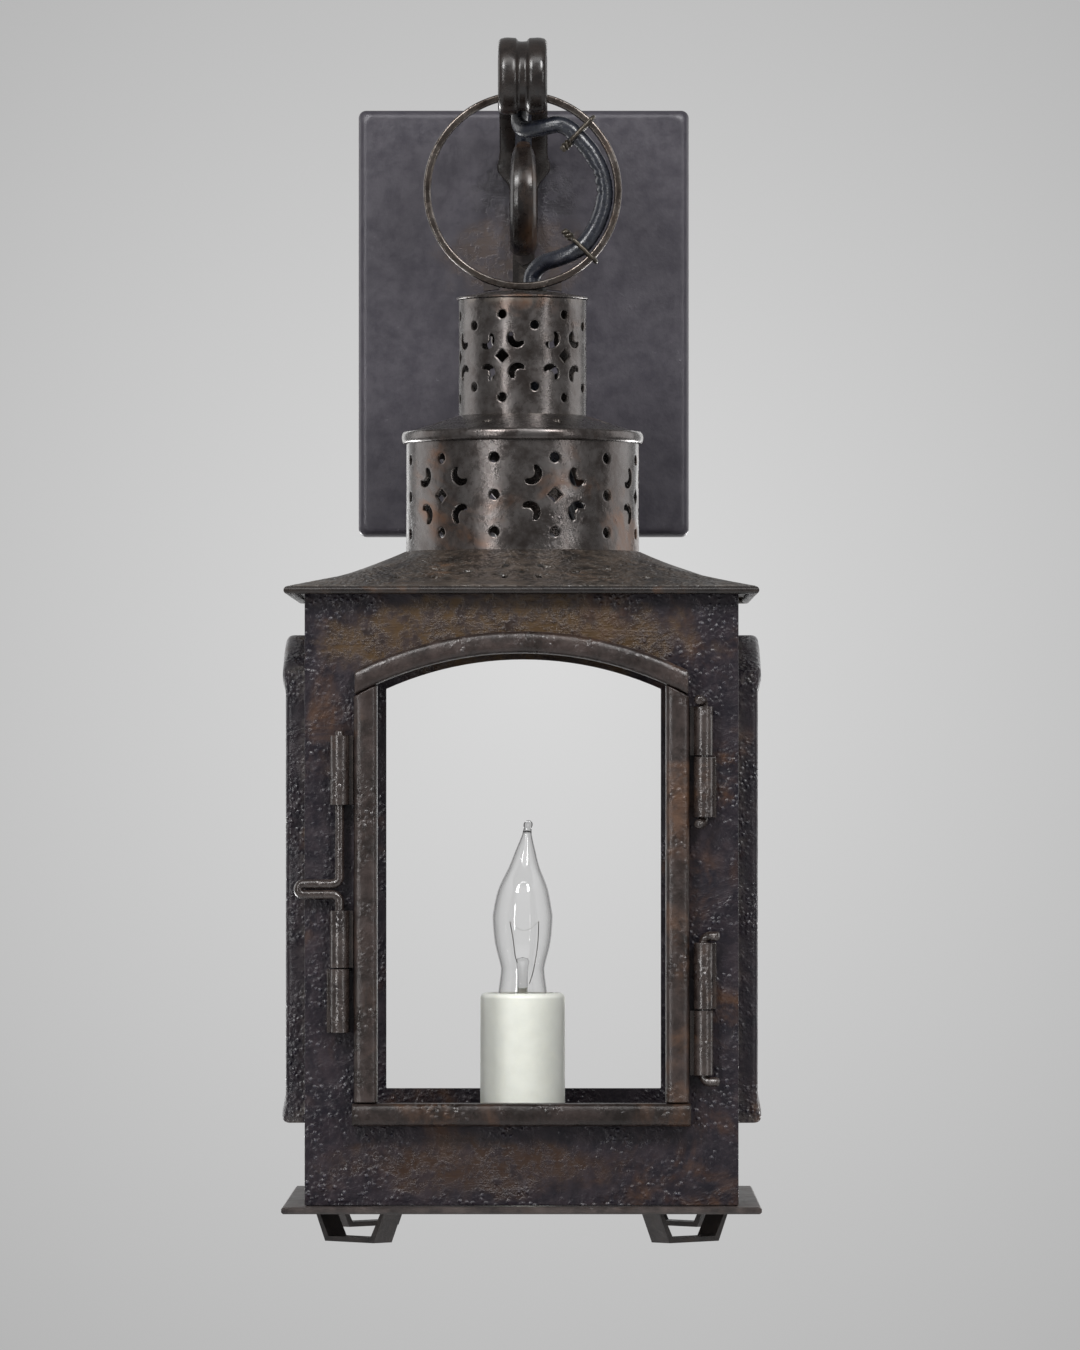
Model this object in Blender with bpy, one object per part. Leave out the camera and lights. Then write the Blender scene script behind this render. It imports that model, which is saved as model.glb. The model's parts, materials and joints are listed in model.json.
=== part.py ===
# A pierced sheet-iron wall lantern that hangs by its ring from a forged scroll bracket.
# Metres, +Z up. The wall is the plane Y = 0, the origin is the middle of the wall plate's back,
# and the lantern hangs on the -Y side, with its door facing -Y.

import math

import bmesh
import bpy
from mathutils import Matrix, Vector
from mathutils.geometry import delaunay_2d_cdt

# Fits
GAP = 0.0003

# Wall plate, mounting bar and their screws
PLATE_WIDTH = 0.152
PLATE_HEIGHT = 0.196
PLATE_DEPTH = 0.018
PLATE_SHEET = 0.0015
PLATE_EDGE_RADIUS = 0.004
PLATE_CORNER_RADIUS = 0.003
BAR_HEIGHT = 0.030
BAR_SHEET = 0.002
BAR_TAB_DEPTH = 0.010
BAR_SLOT_SPACING = 0.083
BAR_SLOT_RADIUS = 0.0025
SCREW_RADIUS = 0.002
SCREW_LENGTH = 0.008
SCREW_SOCKET_RADIUS = 0.0011
SCREW_SOCKET_DEPTH = 0.002

# Scroll bracket: one forged strap, ribbed on its outer side
ARM_REACH = 0.120
CURL_HEIGHT = 0.1054
CURL_RADIUS = 0.0174
CURL_END_ANGLE = math.radians(330)
ARM_FOOT_HEIGHT = 0.064
SCROLL_HEIGHT = 0.0537
SCROLL_RADIUS = 0.0243
SCROLL_END_ANGLE = math.radians(-252)
STRAP_THICKNESS = 0.0053
STRAP_GROOVE_WIDTH = 0.0043
STRAP_GROOVE_DEPTH = 0.0018
STRAP_RIB_EDGE = 0.0012
STRAP_BACK_EDGE = 0.0008
SCROLL_CROWN = 0.0012
FOOT_DROP = 0.0022
CURL_STRAP_WIDTH = 0.022
FOOT_STRAP_WIDTH = 0.024
SCROLL_STRAP_WIDTH = 0.0135
SCROLL_TIP_WIDTH = 0.0108
BACK_STRAP_WIDTH = 0.010
BACK_STRAP_THICKNESS = 0.004
BACK_STRAP_TOP = 0.038
BACK_STRAP_LENGTH = 0.080
BACK_STRAP_END_MARGIN = 0.008
RIVET_RADIUS = 0.002
RIVET_HEAD_RADIUS = 0.0036
RIVET_HEAD_HEIGHT = 0.0018
ARM_RIVET_DROP = 0.010

# Supply cord
CORD_RADIUS = 0.0038
CORD_HOLE_HEIGHT = 0.068
BUSHING_WALL = 0.0014
BUSHING_FLANGE = 0.0015
BUSHING_LIP = 0.0016
TIE_WIRE_RADIUS = 0.0009
TIE_TAIL_LENGTH = 0.0045
TIE_TAIL_SHARE = 0.35
TIE_INNER_BEND = 0.0015
TIE_OUTER_BEND = 0.0025
CLIP_WALL = 0.0012
CLIP_LENGTH = 0.008

# Hanging ring and cap
RING_OUTER_RADIUS = 0.0445
RING_BAND_THICKNESS = 0.0034
RING_BAND_WIDTH = 0.005
RING_BAND_EDGE = 0.0011
LUG_OFFSET = 0.014
LUG_LENGTH = 0.007
LUG_WIDTH = 0.006
CAP_RADIUS = 0.0296
CAP_RISE = 0.0032
CAP_SHEET = 0.001
CAP_CORD_OFFSET = (0.0040, 0.0105)

# Chimney, drum and lid
CHIMNEY_RADIUS = 0.02875
CHIMNEY_HEIGHT = 0.0537
DRUM_RADIUS = 0.0523
DRUM_HEIGHT = 0.0548
TUBE_SHEET = 0.0012
SOCKET_DEPTH = 0.002
LID_RISE = 0.0076
LID_SHEET = 0.001
RIM_HEIGHT = 0.0054
RIM_THICKNESS = 0.0016
RIM_STAND = 0.0004

# Piercing
MOTIFS = 6
SEAM_SHARE = 0.38
CHIMNEY_MOTIF_ANGLE = math.radians(-18.8)
DRUM_MOTIF_ANGLE = math.radians(16.2)
CHIMNEY_STAR = 0.0033
CHIMNEY_HOLE_RADIUS = 0.0021
CHIMNEY_HOLE_RISE = 0.0185
CHIMNEY_PAIR_RISE = 0.0137
CHIMNEY_CRESCENT_REACH = (0.0072, 0.0078)
CHIMNEY_CRESCENT_RADIUS = 0.0042
DRUM_STAR = 0.0036
DRUM_HOLE_RADIUS = 0.0024
DRUM_HOLE_RISE = 0.0165
DRUM_CRESCENT_REACH = (0.0112, 0.0083)
DRUM_CRESCENT_RADIUS = 0.0048
LID_HOLES = 8
LID_HOLE_RADIUS = 0.0022
ROOF_STAR = 0.0036
ROOF_HOLE_RADIUS = 0.0023
ROOF_CRESCENT_REACH = (0.0105, 0.0085)
ROOF_CRESCENT_RADIUS = 0.0046
ROOF_MOTIF_SPACING = 0.038

# Roof, body and base
ROOF_WIDTH = 0.208
ROOF_RISE = 0.0178
ROOF_SHEET = 0.0012
ROOF_FLARE = 0.28
ROOF_HEM_HEIGHT = 0.0036
ROOF_HEM_WIDTH = 0.0034
BODY_WIDTH = 0.190
BODY_HEIGHT = 0.2715
BODY_SHEET = 0.0015
BASE_WIDTH = 0.210
BASE_THICKNESS = 0.003
BASE_EDGE = 0.0008
FOOT_HEIGHT = 0.0133
FOOT_TOP_SPREAD = 0.0438
FOOT_BOTTOM_SPREAD = 0.031
FOOT_STRAP_SHEET = 0.0022
FOOT_STRAP_BREADTH = 0.011
FOOT_OFFSET = 0.072

# Windows, side frames and door
WINDOW_WIDTH = 0.126
WINDOW_SILL_HEIGHT = 0.0453
WINDOW_SPRING_DROP = 0.0432
WINDOW_ARCH_RISE = 0.0135
FRAME_DEPTH = 0.0102
STILE_DEPTH = 0.0088
STILE_STEP = 0.0006
STILE_WIDTH = 0.0104
ARCH_WIDTH = 0.0096
SILL_HEIGHT = 0.0101
ARCH_END_OVERHANG = 0.0005
SILL_END_OVERHANG = 0.0007
# The strips' section as shares of their width and depth, flat at the back
STRIP_SHARES = [(0, 0), (0, 0.55), (0.12, 0.84), (0.34, 1), (0.66, 1), (0.88, 0.84), (1, 0.55), (1, 0)]

# Door hinges and bolt
BARREL_RADIUS = 0.00425
BARREL_OFFSET = 0.0062
LEAF_SHEET = 0.0012
BODY_LEAF_REACH = 0.0057
PIN_RADIUS = 0.0021
PIN_TAIL = 0.0075
PIN_BEND = 0.0030
UPPER_PIN_ANGLE = math.radians(250)
LOWER_PIN_ANGLE = math.radians(-20)
PIN_END_CLEARANCE = 0.0008
UPPER_HINGE_DROP = 0.0314
LOWER_HINGE_RISE = 0.0408
UPPER_DOOR_KNUCKLE = 0.0216
UPPER_BODY_KNUCKLE = 0.0269
LOWER_BODY_KNUCKLE = 0.0294
LOWER_DOOR_KNUCKLE = 0.0285
BOLT_RADIUS = 0.00205
BOLT_SEAM_RISE = 0.0593
LOWER_GUIDE = 0.0249
KEEPER = 0.0285
UPPER_GUIDE = 0.0302
UPPER_GUIDE_DROP = 0.0225
BOLT_TOP_STAND = 0.0025
BOLT_HANDLE_RISE = 0.0320
BOLT_HANDLE_PITCH = 0.0046
BOLT_HANDLE_REACH = 0.0180
BOLT_BEND = 0.0032
BOLT_TIP_CLEARANCE = 0.0004

# Candle and lamp
SLEEVE_RADIUS = 0.019
SLEEVE_WALL = 0.003
SLEEVE_HEIGHT = 0.0910
SLEEVE_EDGE = 0.0012
SLEEVE_NOTCH_WIDTH = 0.0106
STEM_RADIUS = 0.005
HOLDER_DROP = 0.0045
HOLDER_HEIGHT = 0.044
HOLDER_WALL = 0.002
BULB_BASE_RADIUS = 0.013
BULB_BASE_HEIGHT = 0.0255
BULB_NECK_RADIUS = 0.0110
BULB_WAIST_RADIUS = 0.0098
BULB_RADIUS = 0.0134
BULB_TIP_RADIUS = 0.0023
BULB_LENGTH = 0.0774
BULB_GLASS = 0.0008
BULB_NECK_DEPTH = 0.006
BULB_TIP_LEAN = 0.0022
BULB_STEM_RADIUS = 0.0026
BULB_PRESS_HEIGHT = 0.0150
FILAMENT_RADIUS = 0.0003
FILAMENT_BEND = 0.0012
FILAMENT_CORNERS = [
    (-0.0033, 0.0158),
    (-0.0057, 0.0320),
    (0.0072, 0.0320),
    (0.0063, 0.0200),
    (0.0038, 0.0080),
]

# The hanging stack, from the hook down
AXIS_Y = -ARM_REACH
PLATE_FACE_Y = -PLATE_DEPTH
RING_INNER_RADIUS = RING_OUTER_RADIUS - RING_BAND_THICKNESS
RING_SAG = RING_INNER_RADIUS - math.sqrt(RING_INNER_RADIUS**2 - (CURL_STRAP_WIDTH / 2) ** 2)
HOOK_SEAT_Z = CURL_HEIGHT - CURL_RADIUS + STRAP_THICKNESS
RING_TOP_Z = HOOK_SEAT_Z + GAP + RING_SAG + RING_BAND_THICKNESS
RING_CENTRE_Z = RING_TOP_Z - RING_OUTER_RADIUS
CAP_APEX_Z = RING_CENTRE_Z - RING_OUTER_RADIUS - GAP
CAP_RIM_Z = CAP_APEX_Z - CAP_RISE
CHIMNEY_TOP_Z = CAP_RIM_Z - CAP_SHEET - GAP
CHIMNEY_BOTTOM_Z = CHIMNEY_TOP_Z - CHIMNEY_HEIGHT
LID_TOP_Z = CHIMNEY_BOTTOM_Z + SOCKET_DEPTH
LID_EDGE_Z = LID_TOP_Z - LID_RISE
DRUM_TOP_Z = LID_EDGE_Z - LID_SHEET - GAP
DRUM_BOTTOM_Z = DRUM_TOP_Z - DRUM_HEIGHT
ROOF_TOP_Z = DRUM_BOTTOM_Z + 1.5 * SOCKET_DEPTH
EAVE_Z = ROOF_TOP_Z - ROOF_RISE
ROOF_OPENING_RADIUS = DRUM_RADIUS + GAP
EAVE_CORNER = ROOF_WIDTH / math.sqrt(2) - ROOF_OPENING_RADIUS
CORNER_SHARE = (BODY_WIDTH / math.sqrt(2) - ROOF_OPENING_RADIUS) / EAVE_CORNER
CORNER_DROP = ROOF_RISE * CORNER_SHARE * (1 + ROOF_FLARE * (1 - CORNER_SHARE))
WALL_TOP_Z = ROOF_TOP_Z - CORNER_DROP - ROOF_SHEET - GAP
WALL_BOTTOM_Z = WALL_TOP_Z - BODY_HEIGHT
FLOOR_Z = WALL_BOTTOM_Z - GAP
BASE_BOTTOM_Z = FLOOR_Z - BASE_THICKNESS
SILL_Z = FLOOR_Z + WINDOW_SILL_HEIGHT
SPRING_Z = WALL_TOP_Z - WINDOW_SPRING_DROP
ARCH_RADIUS = ((WINDOW_WIDTH / 2) ** 2 + WINDOW_ARCH_RISE**2) / (2 * WINDOW_ARCH_RISE)
ARCH_CENTRE_Z = SPRING_Z + WINDOW_ARCH_RISE - ARCH_RADIUS
FRONT_Y = AXIS_Y - BODY_WIDTH / 2
DOOR_BACK_Y = FRONT_Y - GAP
HINGE_X = WINDOW_WIDTH / 2 + STILE_WIDTH + BARREL_OFFSET
HINGE_Y = FRONT_Y - GAP - BARREL_RADIUS
SLEEVE_TOP_Z = FLOOR_Z + GAP + SLEEVE_HEIGHT
HOLDER_TOP_Z = SLEEVE_TOP_Z - HOLDER_DROP
HOLDER_BOTTOM_Z = HOLDER_TOP_Z - HOLDER_HEIGHT
BULB_BASE_TOP_Z = HOLDER_TOP_Z - HOLDER_WALL
BULB_NECK_Z = BULB_BASE_TOP_Z - BULB_NECK_DEPTH + GAP

# The cord's route from inside the wall plate to the lamp. It leaves through the arm's foot, rises by
# shares of the arm's reach and rise, and then follows offsets from the pieces that it passes.
CORD_PLATE_OFFSETS = (0.0135, 0.0040, -0.0055)
CORD_ARM_SHARES = [
    (0.1275, 0.0995),
    (0.1843, 0.1857),
    (0.2176, 0.3018),
    (0.2529, 0.4113),
    (0.3039, 0.5108),
    (0.4020, 0.6169),
    (0.4902, 0.6833),
]
CORD_LOOP_OFFSETS = [
    (0, 0.0517, 0.0105),
    (0, 0.0489, 0.0117),
    (0, 0.0400, 0.0132),
    (0, 0.0295, 0.0082),
    (0, 0.0215, -0.0003),
    (0.0004, 0.0150, -0.0080),
    (0.0030, 0.0085, -0.0112),
    (0.0092, 0.0032, -0.0110),
    (0.0160, 0.0006, -0.0095),
    (0.0214, 0, -0.0118),
    (0.0238, 0, -0.0142),
]
CORD_HOOK_OFFSETS = [(0.0240, 0, -0.0144), (0.0264, 0, -0.0168)]
CORD_RING_ANGLES = [math.radians(a) for a in (28, 12, -5, -22, -38)]
CORD_RING_CLEARANCES = (0.0020, 0.0010, 0.0005, 0.0006, 0.0007)
CORD_CAP_OFFSETS = [
    (0.0198, -0.0101, 0.0179),
    (0.0125, -0.0077, 0.0149),
    (0.0052, -0.0035, 0.0127),
    (0.0007, -0.0005, 0.0081),
    (0, 0, 0.0023),
    (0, 0, -0.0077),
    (0.0002, 0.0001, -0.0187),
    (0.0030, 0.0015, -0.0407),
]
CORD_LID_OFFSETS = [(0.0150, 0.0170, -0.0145)]
CORD_ROOF_OFFSETS = [(0.0262, 0.0262, 0.0132), (0.0330, 0.0330, -0.0068)]
CORD_EAVE_OFFSETS = [
    (-0.0490, -0.0490, -0.0049),
    (-0.0310, -0.0310, -0.0189),
    (-0.0165, -0.0165, -0.0359),
    (-0.0096, -0.0096, -0.0639),
    (-0.0096, -0.0096, -0.1159),
]
CORD_CORNER_OFFSETS = [
    (-0.0096, -0.0096, 0.0754),
    (-0.0100, -0.0100, 0.0354),
    (-0.0160, -0.0160, 0.0134),
    (-0.0310, -0.0310, 0.0052),
]
CORD_FLOOR_OFFSETS = [
    (0.0400, 0.0400, 0.0046),
    (0.0200, 0.0200, 0.0048),
    (0.0122, 0.0122, 0.0052),
    (0.0078, 0.0078, 0.0092),
    (0.0070, 0.0070, 0.0179),
    (0.0070, 0.0070, 0.0304),
]
CORD_END_OFFSETS = [(0.0070, 0.0070, -0.0005)]
UPPER_TIE_ANGLE = math.radians(46)
LOWER_TIE_ANGLE = math.radians(-44)
CLIP_RISES = (0.1604, 0.0654)

COLOURS = {
    "iron": ((0.045, 0.038, 0.036), 0.55, 0.7),
    "plate_iron": ((0.066, 0.062, 0.072), 0.5, 0.7),
    "steel": ((0.30, 0.29, 0.28), 0.4, 1.0),
    "cord": ((0.02, 0.02, 0.022), 0.45, 0.0),
    "resin": ((0.62, 0.62, 0.55), 0.5, 0.0),
    "brass": ((0.55, 0.42, 0.20), 0.35, 1.0),
    "glass": ((0.85, 0.87, 0.88), 0.05, 0.0),
    "tungsten": ((0.25, 0.24, 0.23), 0.4, 1.0),
    "porcelain": ((0.70, 0.69, 0.66), 0.4, 0.0),
    "rubber": ((0.025, 0.025, 0.025), 0.7, 0.0),
}


def clear_scene():
    for thing in list(bpy.data.objects):
        bpy.data.objects.remove(thing, do_unlink=True)


def make_materials():
    made = {}
    for name, (colour, roughness, metallic) in COLOURS.items():
        material = bpy.data.materials.new(name)
        material.use_nodes = True
        shader = material.node_tree.nodes["Principled BSDF"]
        shader.inputs["Base Color"].default_value = (*colour, 1)
        shader.inputs["Roughness"].default_value = roughness
        shader.inputs["Metallic"].default_value = metallic
        made[name] = material
    return made


def add(name, data, material, parent=None):
    thing = bpy.data.objects.new(name, data)
    bpy.context.scene.collection.objects.link(thing)
    if material:
        data.materials.append(MATERIALS[material])
    if parent:
        thing.parent = parent
        thing.matrix_parent_inverse = parent.matrix_world.inverted()
    return thing


def add_pivot(name, place):
    pivot = bpy.data.objects.new(name, None)
    bpy.context.scene.collection.objects.link(pivot)
    pivot.matrix_world = Matrix.Translation(place)
    return pivot


def add_mesh(name, mesh_data, material, parent=None, place=None):
    points, faces = mesh_data
    build = bmesh.new()
    vertices = [build.verts.new(place @ Vector(p) if place else p) for p in points]
    for face in faces:
        build.faces.new([vertices[i] for i in face])
    bmesh.ops.recalc_face_normals(build, faces=build.faces)
    mesh = bpy.data.meshes.new(name)
    build.to_mesh(mesh)
    build.free()
    mesh.shade_smooth()
    mesh.set_sharp_from_angle(angle=math.radians(35))
    return add(name, mesh, material, parent)


def cut(thing, mesh_data):
    cutter = add_mesh("cutter_" + thing.name, mesh_data, None)
    cutter.hide_render = True
    cutter.display_type = "WIRE"
    modifier = thing.modifiers.new("cut", "BOOLEAN")
    modifier.operation = "DIFFERENCE"
    modifier.object = cutter


# A solid skinned over a row of rings with equal counts, capped at both ends or closed on itself
def loft(rings, closed=False):
    count = len(rings[0])
    points = [p for ring in rings for p in ring]
    faces = []
    for i in range(len(rings) if closed else len(rings) - 1):
        a = i * count
        b = (i + 1) % len(rings) * count
        for j in range(count):
            k = (j + 1) % count
            faces.append((a + j, a + k, b + k, b + j))
    if not closed:
        faces.append(tuple(range(count)))
        faces.append(tuple(range(len(points) - count, len(points))))
    return points, faces


# A solid turned about the vertical through centre, from a closed outline of (radius, height) points
def turned(outline, sides, centre=(0, 0)):
    points = []
    rings = []
    for radius, height in outline:
        steps = 1 if radius < 1e-6 else sides
        rings.append(list(range(len(points), len(points) + steps)))
        for j in range(steps):
            turn = 2 * math.pi * j / sides
            x = centre[0] + radius * math.cos(turn)
            points.append((x, centre[1] + radius * math.sin(turn), height))
    faces = []
    for a, b in zip(rings, rings[1:] + rings[:1]):
        for j in range(sides):
            face = [a[j % len(a)], a[(j + 1) % len(a)], b[(j + 1) % len(b)], b[j % len(b)]]
            face = list(dict.fromkeys(face))
            if len(face) > 2:
                faces.append(face)
    return points, faces


def prism(outline, low, high, lift):
    return loft([[lift(u, v, low) for u, v in outline], [lift(u, v, high) for u, v in outline]])


def drill(radius, start, end, sides=16):
    start, end = Vector(start), Vector(end)
    turn = (end - start).to_track_quat("Z", "Y").to_matrix()
    rings = [[p + turn @ Vector((*c, 0)) for c in circle(0, 0, radius, sides)] for p in (start, end)]
    return loft(rings)


def inside(point, outline):
    x, y = point
    odd = False
    for (x1, y1), (x2, y2) in zip(outline, outline[1:] + outline[:1]):
        if (y1 > y) != (y2 > y) and x < x1 + (y - y1) * (x2 - x1) / (y2 - y1):
            odd = not odd
    return odd


# A sheet with holes: the outline and holes are flat, front and back carry each point into space.
# Lines are extra creases. wrap is the width at which the flat pattern closes on itself.
def sheet(outline, holes, front, back, lines=(), wrap=None):
    loops = [outline, *holes]
    flat = []
    edges = []
    for loop in [*loops, *lines]:
        start = len(flat)
        flat += [Vector(p) for p in loop]
        count = len(loop)
        edges += [(start + i, start + i + 1) for i in range(count - 1)]
        if loop in loops:
            edges.append((start + count - 1, start))
    flat, _, triangles, *_ = delaunay_2d_cdt(flat, edges, [], 0, 1e-7)
    kept = []
    for triangle in triangles:
        middle = sum((flat[i] for i in triangle), Vector((0, 0))) / 3
        if inside(middle, outline) and not any(inside(middle, hole) for hole in holes):
            kept.append(triangle)
    seam = {}
    if wrap:
        ends = [sorted((p.y, i) for i, p in enumerate(flat) if abs(p.x - x) < 1e-6) for x in (wrap, 0)]
        seam = {i: first for (_, i), (_, first) in zip(*ends)}
    kept = [[seam.get(i, i) for i in triangle] for triangle in kept]
    used = sorted({i for triangle in kept for i in triangle})
    order = {i: n for n, i in enumerate(used)}
    points = [front(*flat[i]) for i in used] + [back(*flat[i]) for i in used]
    size = len(used)
    faces = []
    sides = {}
    for triangle in kept:
        a, b, c = (order[i] for i in triangle)
        faces += [(a, b, c), (c + size, b + size, a + size)]
        for edge in ((a, b), (b, c), (c, a)):
            sides[edge] = True
    faces += [(b, a, a + size, b + size) for a, b in sides if (b, a) not in sides]
    return points, faces


def circle(u, v, radius, sides=8, start=0.0):
    steps = [start + 2 * math.pi * i / sides for i in range(sides)]
    return [(u + radius * math.cos(t), v + radius * math.sin(t)) for t in steps]


def star(u, v, reach):
    waist = 0.42 * reach
    corners = [(reach, 0), (waist, waist), (0, reach), (-waist, waist)]
    corners += [(-reach, 0), (-waist, -waist), (0, -reach), (waist, -waist)]
    return [(u + a, v + b) for a, b in corners]


# A crescent whose round back faces the direction toward
def crescent(u, v, radius, toward):
    back = [toward + math.radians(a) for a in (-100, -60, -20, 20, 60, 100)]
    points = [(radius * math.cos(t), radius * math.sin(t)) for t in back]
    hollow = 0.12 * radius
    for side in (0.5, -0.5):
        turn = toward + side * math.pi
        along = (0.45 * radius * math.cos(turn), 0.45 * radius * math.sin(turn))
        points.append((along[0] + hollow * math.cos(toward), along[1] + hollow * math.sin(toward)))
    return [(u + a, v + b) for a, b in points]


# A star, four crescents with their backs to it, and a round hole above and below
def motif(u, v, star_reach, reach, crescent_radius, hole_radius, hole_rise):
    holes = [star(u, v, star_reach)]
    for side in (-1, 1):
        for level in (-1, 1):
            toward = math.atan2(-level * reach[1], -side * reach[0])
            holes.append(crescent(u + side * reach[0], v + level * reach[1], crescent_radius, toward))
    if hole_radius:
        holes += [circle(u, v + level * hole_rise, hole_radius) for level in (-1, 1)]
    return holes


# A tube rolled from a pierced strip
def pierced_tube(radius, bottom, top, holes, sides, motif_angle):
    width = 2 * math.pi * radius
    seam = motif_angle + math.pi + SEAM_SHARE * 2 * math.pi / MOTIFS

    def wall(depth):
        def place(u, v):
            turn = u / radius + seam - math.pi / 2
            reach = radius - depth
            return (reach * math.cos(turn), AXIS_Y + reach * math.sin(turn), v)

        return place

    shifted = []
    for hole in holes:
        middle = sum(u for u, _ in hole) / len(hole) - seam * radius
        shift = seam * radius + width * math.floor(middle / width)
        shifted.append([(u - shift, v) for u, v in hole])
    creases = [[(width * i / sides, bottom), (width * i / sides, top)] for i in range(1, sides)]
    outline = [(0, bottom), (width, bottom), (width, top), (0, top)]
    return sheet(outline, shifted, wall(0), wall(TUBE_SHEET), creases, width)


def route(points, step):
    dense = []
    ends = [2 * Vector(points[0]) - Vector(points[1]), 2 * Vector(points[-1]) - Vector(points[-2])]
    run = [ends[0], *map(Vector, points), ends[1]]
    for a, b, c, d in zip(run, run[1:], run[2:], run[3:]):
        pieces = max(1, round((c - b).length / step))
        for i in range(pieces):
            t = i / pieces
            bend = (2 * a - 5 * b + 4 * c - d) * t * t + (3 * b - a - 3 * c + d) * t**3
            dense.append(b + ((c - a) * t + bend) / 2)
    dense.append(Vector(points[-1]))
    return dense


# Straight runs between corners, each corner rounded to its own radius
def bent(corners, radii, steps=6):
    corners = [Vector(c) for c in corners]
    points = [corners[0]]
    for a, b, c, radius in zip(corners, corners[1:], corners[2:], radii):
        way_in, way_out = (b - a).normalized(), (c - b).normalized()
        turn = way_in.angle(way_out)
        trim = radius * math.tan(turn / 2)
        normal = (way_out - way_in * math.cos(turn)).normalized()
        start = b - way_in * trim
        for i in range(steps + 1):
            angle = turn * i / steps
            points.append(start + radius * (math.sin(angle) * way_in + (1 - math.cos(angle)) * normal))
    return [*points, corners[-1]]


def add_tube(name, points, radius, resolution, material, parent=None):
    curve = bpy.data.curves.new(name, "CURVE")
    curve.dimensions = "3D"
    curve.bevel_depth = radius
    curve.bevel_resolution = resolution
    curve.use_fill_caps = True
    spline = curve.splines.new("POLY")
    spline.points.add(len(points) - 1)
    for knot, point in zip(spline.points, points):
        knot.co = (*point, 1)
    return add(name, curve, material, parent)


def rounded_rectangle(width, height, radius, steps=3):
    points = []
    for corner in range(4):
        middle = math.pi / 2 * corner
        side_x = 1 if corner in (0, 3) else -1
        side_y = 1 if corner in (0, 1) else -1
        for i in range(steps + 1):
            turn = middle + math.pi / 2 * i / steps
            x = side_x * (width / 2 - radius) + radius * math.cos(turn)
            points.append((x, side_y * (height / 2 - radius) + radius * math.sin(turn)))
    return points


def headed(shank, length, head, height):
    return [(0, 0), (head, 0), (0.9 * head, height), (shank, height), (shank, length), (0, length)]


def make_wall_plate():
    outer = [(0, 0), (PLATE_EDGE_RADIUS - PLATE_DEPTH, 0)]
    outer += [(-PLATE_DEPTH + 0.3 * PLATE_EDGE_RADIUS, 0.3 * PLATE_EDGE_RADIUS)]
    outer += [(-PLATE_DEPTH, PLATE_EDGE_RADIUS)]
    inner = [(min(y + PLATE_SHEET, 0), inset + PLATE_SHEET) for y, inset in outer]
    inner[0] = (0, PLATE_SHEET)
    rings = []
    for y, inset in inner[::-1] + outer:
        corner = max(PLATE_CORNER_RADIUS, 0.001 + inset / 2)
        ring = rounded_rectangle(PLATE_WIDTH - 2 * inset, PLATE_HEIGHT - 2 * inset, corner)
        rings.append([(x, y, z) for x, z in ring])
    plate = add_mesh("wall_plate", loft(rings), "plate_iron")
    through = -PLATE_DEPTH - GAP
    bushed = CORD_RADIUS + GAP + BUSHING_WALL + GAP
    cut(plate, drill(bushed, (0, through, CORD_HOLE_HEIGHT), (0, 0, CORD_HOLE_HEIGHT)))
    for height in rivet_heights():
        cut(plate, drill(RIVET_RADIUS + GAP, (0, through, height), (0, 0, height)))
    for side in (-1, 1):
        start = side * (PLATE_WIDTH / 2 + GAP)
        hole = [(x, screw_y(), 0) for x in (start, start - side * 2 * PLATE_SHEET)]
        cut(plate, drill(SCREW_RADIUS + GAP, *hole))


def screw_y():
    return -BAR_SHEET - BAR_TAB_DEPTH / 2


def rivet_heights():
    lower = BACK_STRAP_TOP - BACK_STRAP_LENGTH + BACK_STRAP_END_MARGIN
    return CORD_HOLE_HEIGHT - ARM_RIVET_DROP, BACK_STRAP_TOP - BACK_STRAP_END_MARGIN, lower


def make_mounting_bar():
    half = PLATE_WIDTH / 2 - PLATE_SHEET - GAP
    deep = -BAR_SHEET - BAR_TAB_DEPTH
    outline = [(half, 0), (half, deep), (half - BAR_SHEET, deep), (half - BAR_SHEET, -BAR_SHEET)]
    outline += [(-x, y) for x, y in outline[::-1]]
    bar = prism(outline, -BAR_HEIGHT / 2, BAR_HEIGHT / 2, lambda x, y, z: (x, y, z))
    bar = add_mesh("mounting_bar", bar, "steel")
    for side in (-1, 1):
        box_screw = side * BAR_SLOT_SPACING / 2
        cut(bar, drill(BAR_SLOT_RADIUS, (box_screw, GAP, 0), (box_screw, -BAR_SHEET - GAP, 0)))
        tab = side * (half + GAP)
        cut(bar, drill(SCREW_RADIUS + GAP, (tab, screw_y(), 0), (tab - side * 2 * BAR_SHEET, screw_y(), 0)))
    for side, name in ((-1, "left"), (1, "right")):
        outline = [(0, SCREW_SOCKET_DEPTH), (SCREW_SOCKET_RADIUS, SCREW_SOCKET_DEPTH)]
        outline += [(SCREW_SOCKET_RADIUS, 0), (SCREW_RADIUS, 0)]
        outline += [(SCREW_RADIUS, SCREW_LENGTH), (0, SCREW_LENGTH)]
        place = Matrix.Translation((side * PLATE_WIDTH / 2, screw_y(), 0))
        place = place @ Matrix.Rotation(-side * math.pi / 2, 4, "Y")
        add_mesh("plate_screw_" + name, turned(outline, 12), "steel", place=place)


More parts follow.
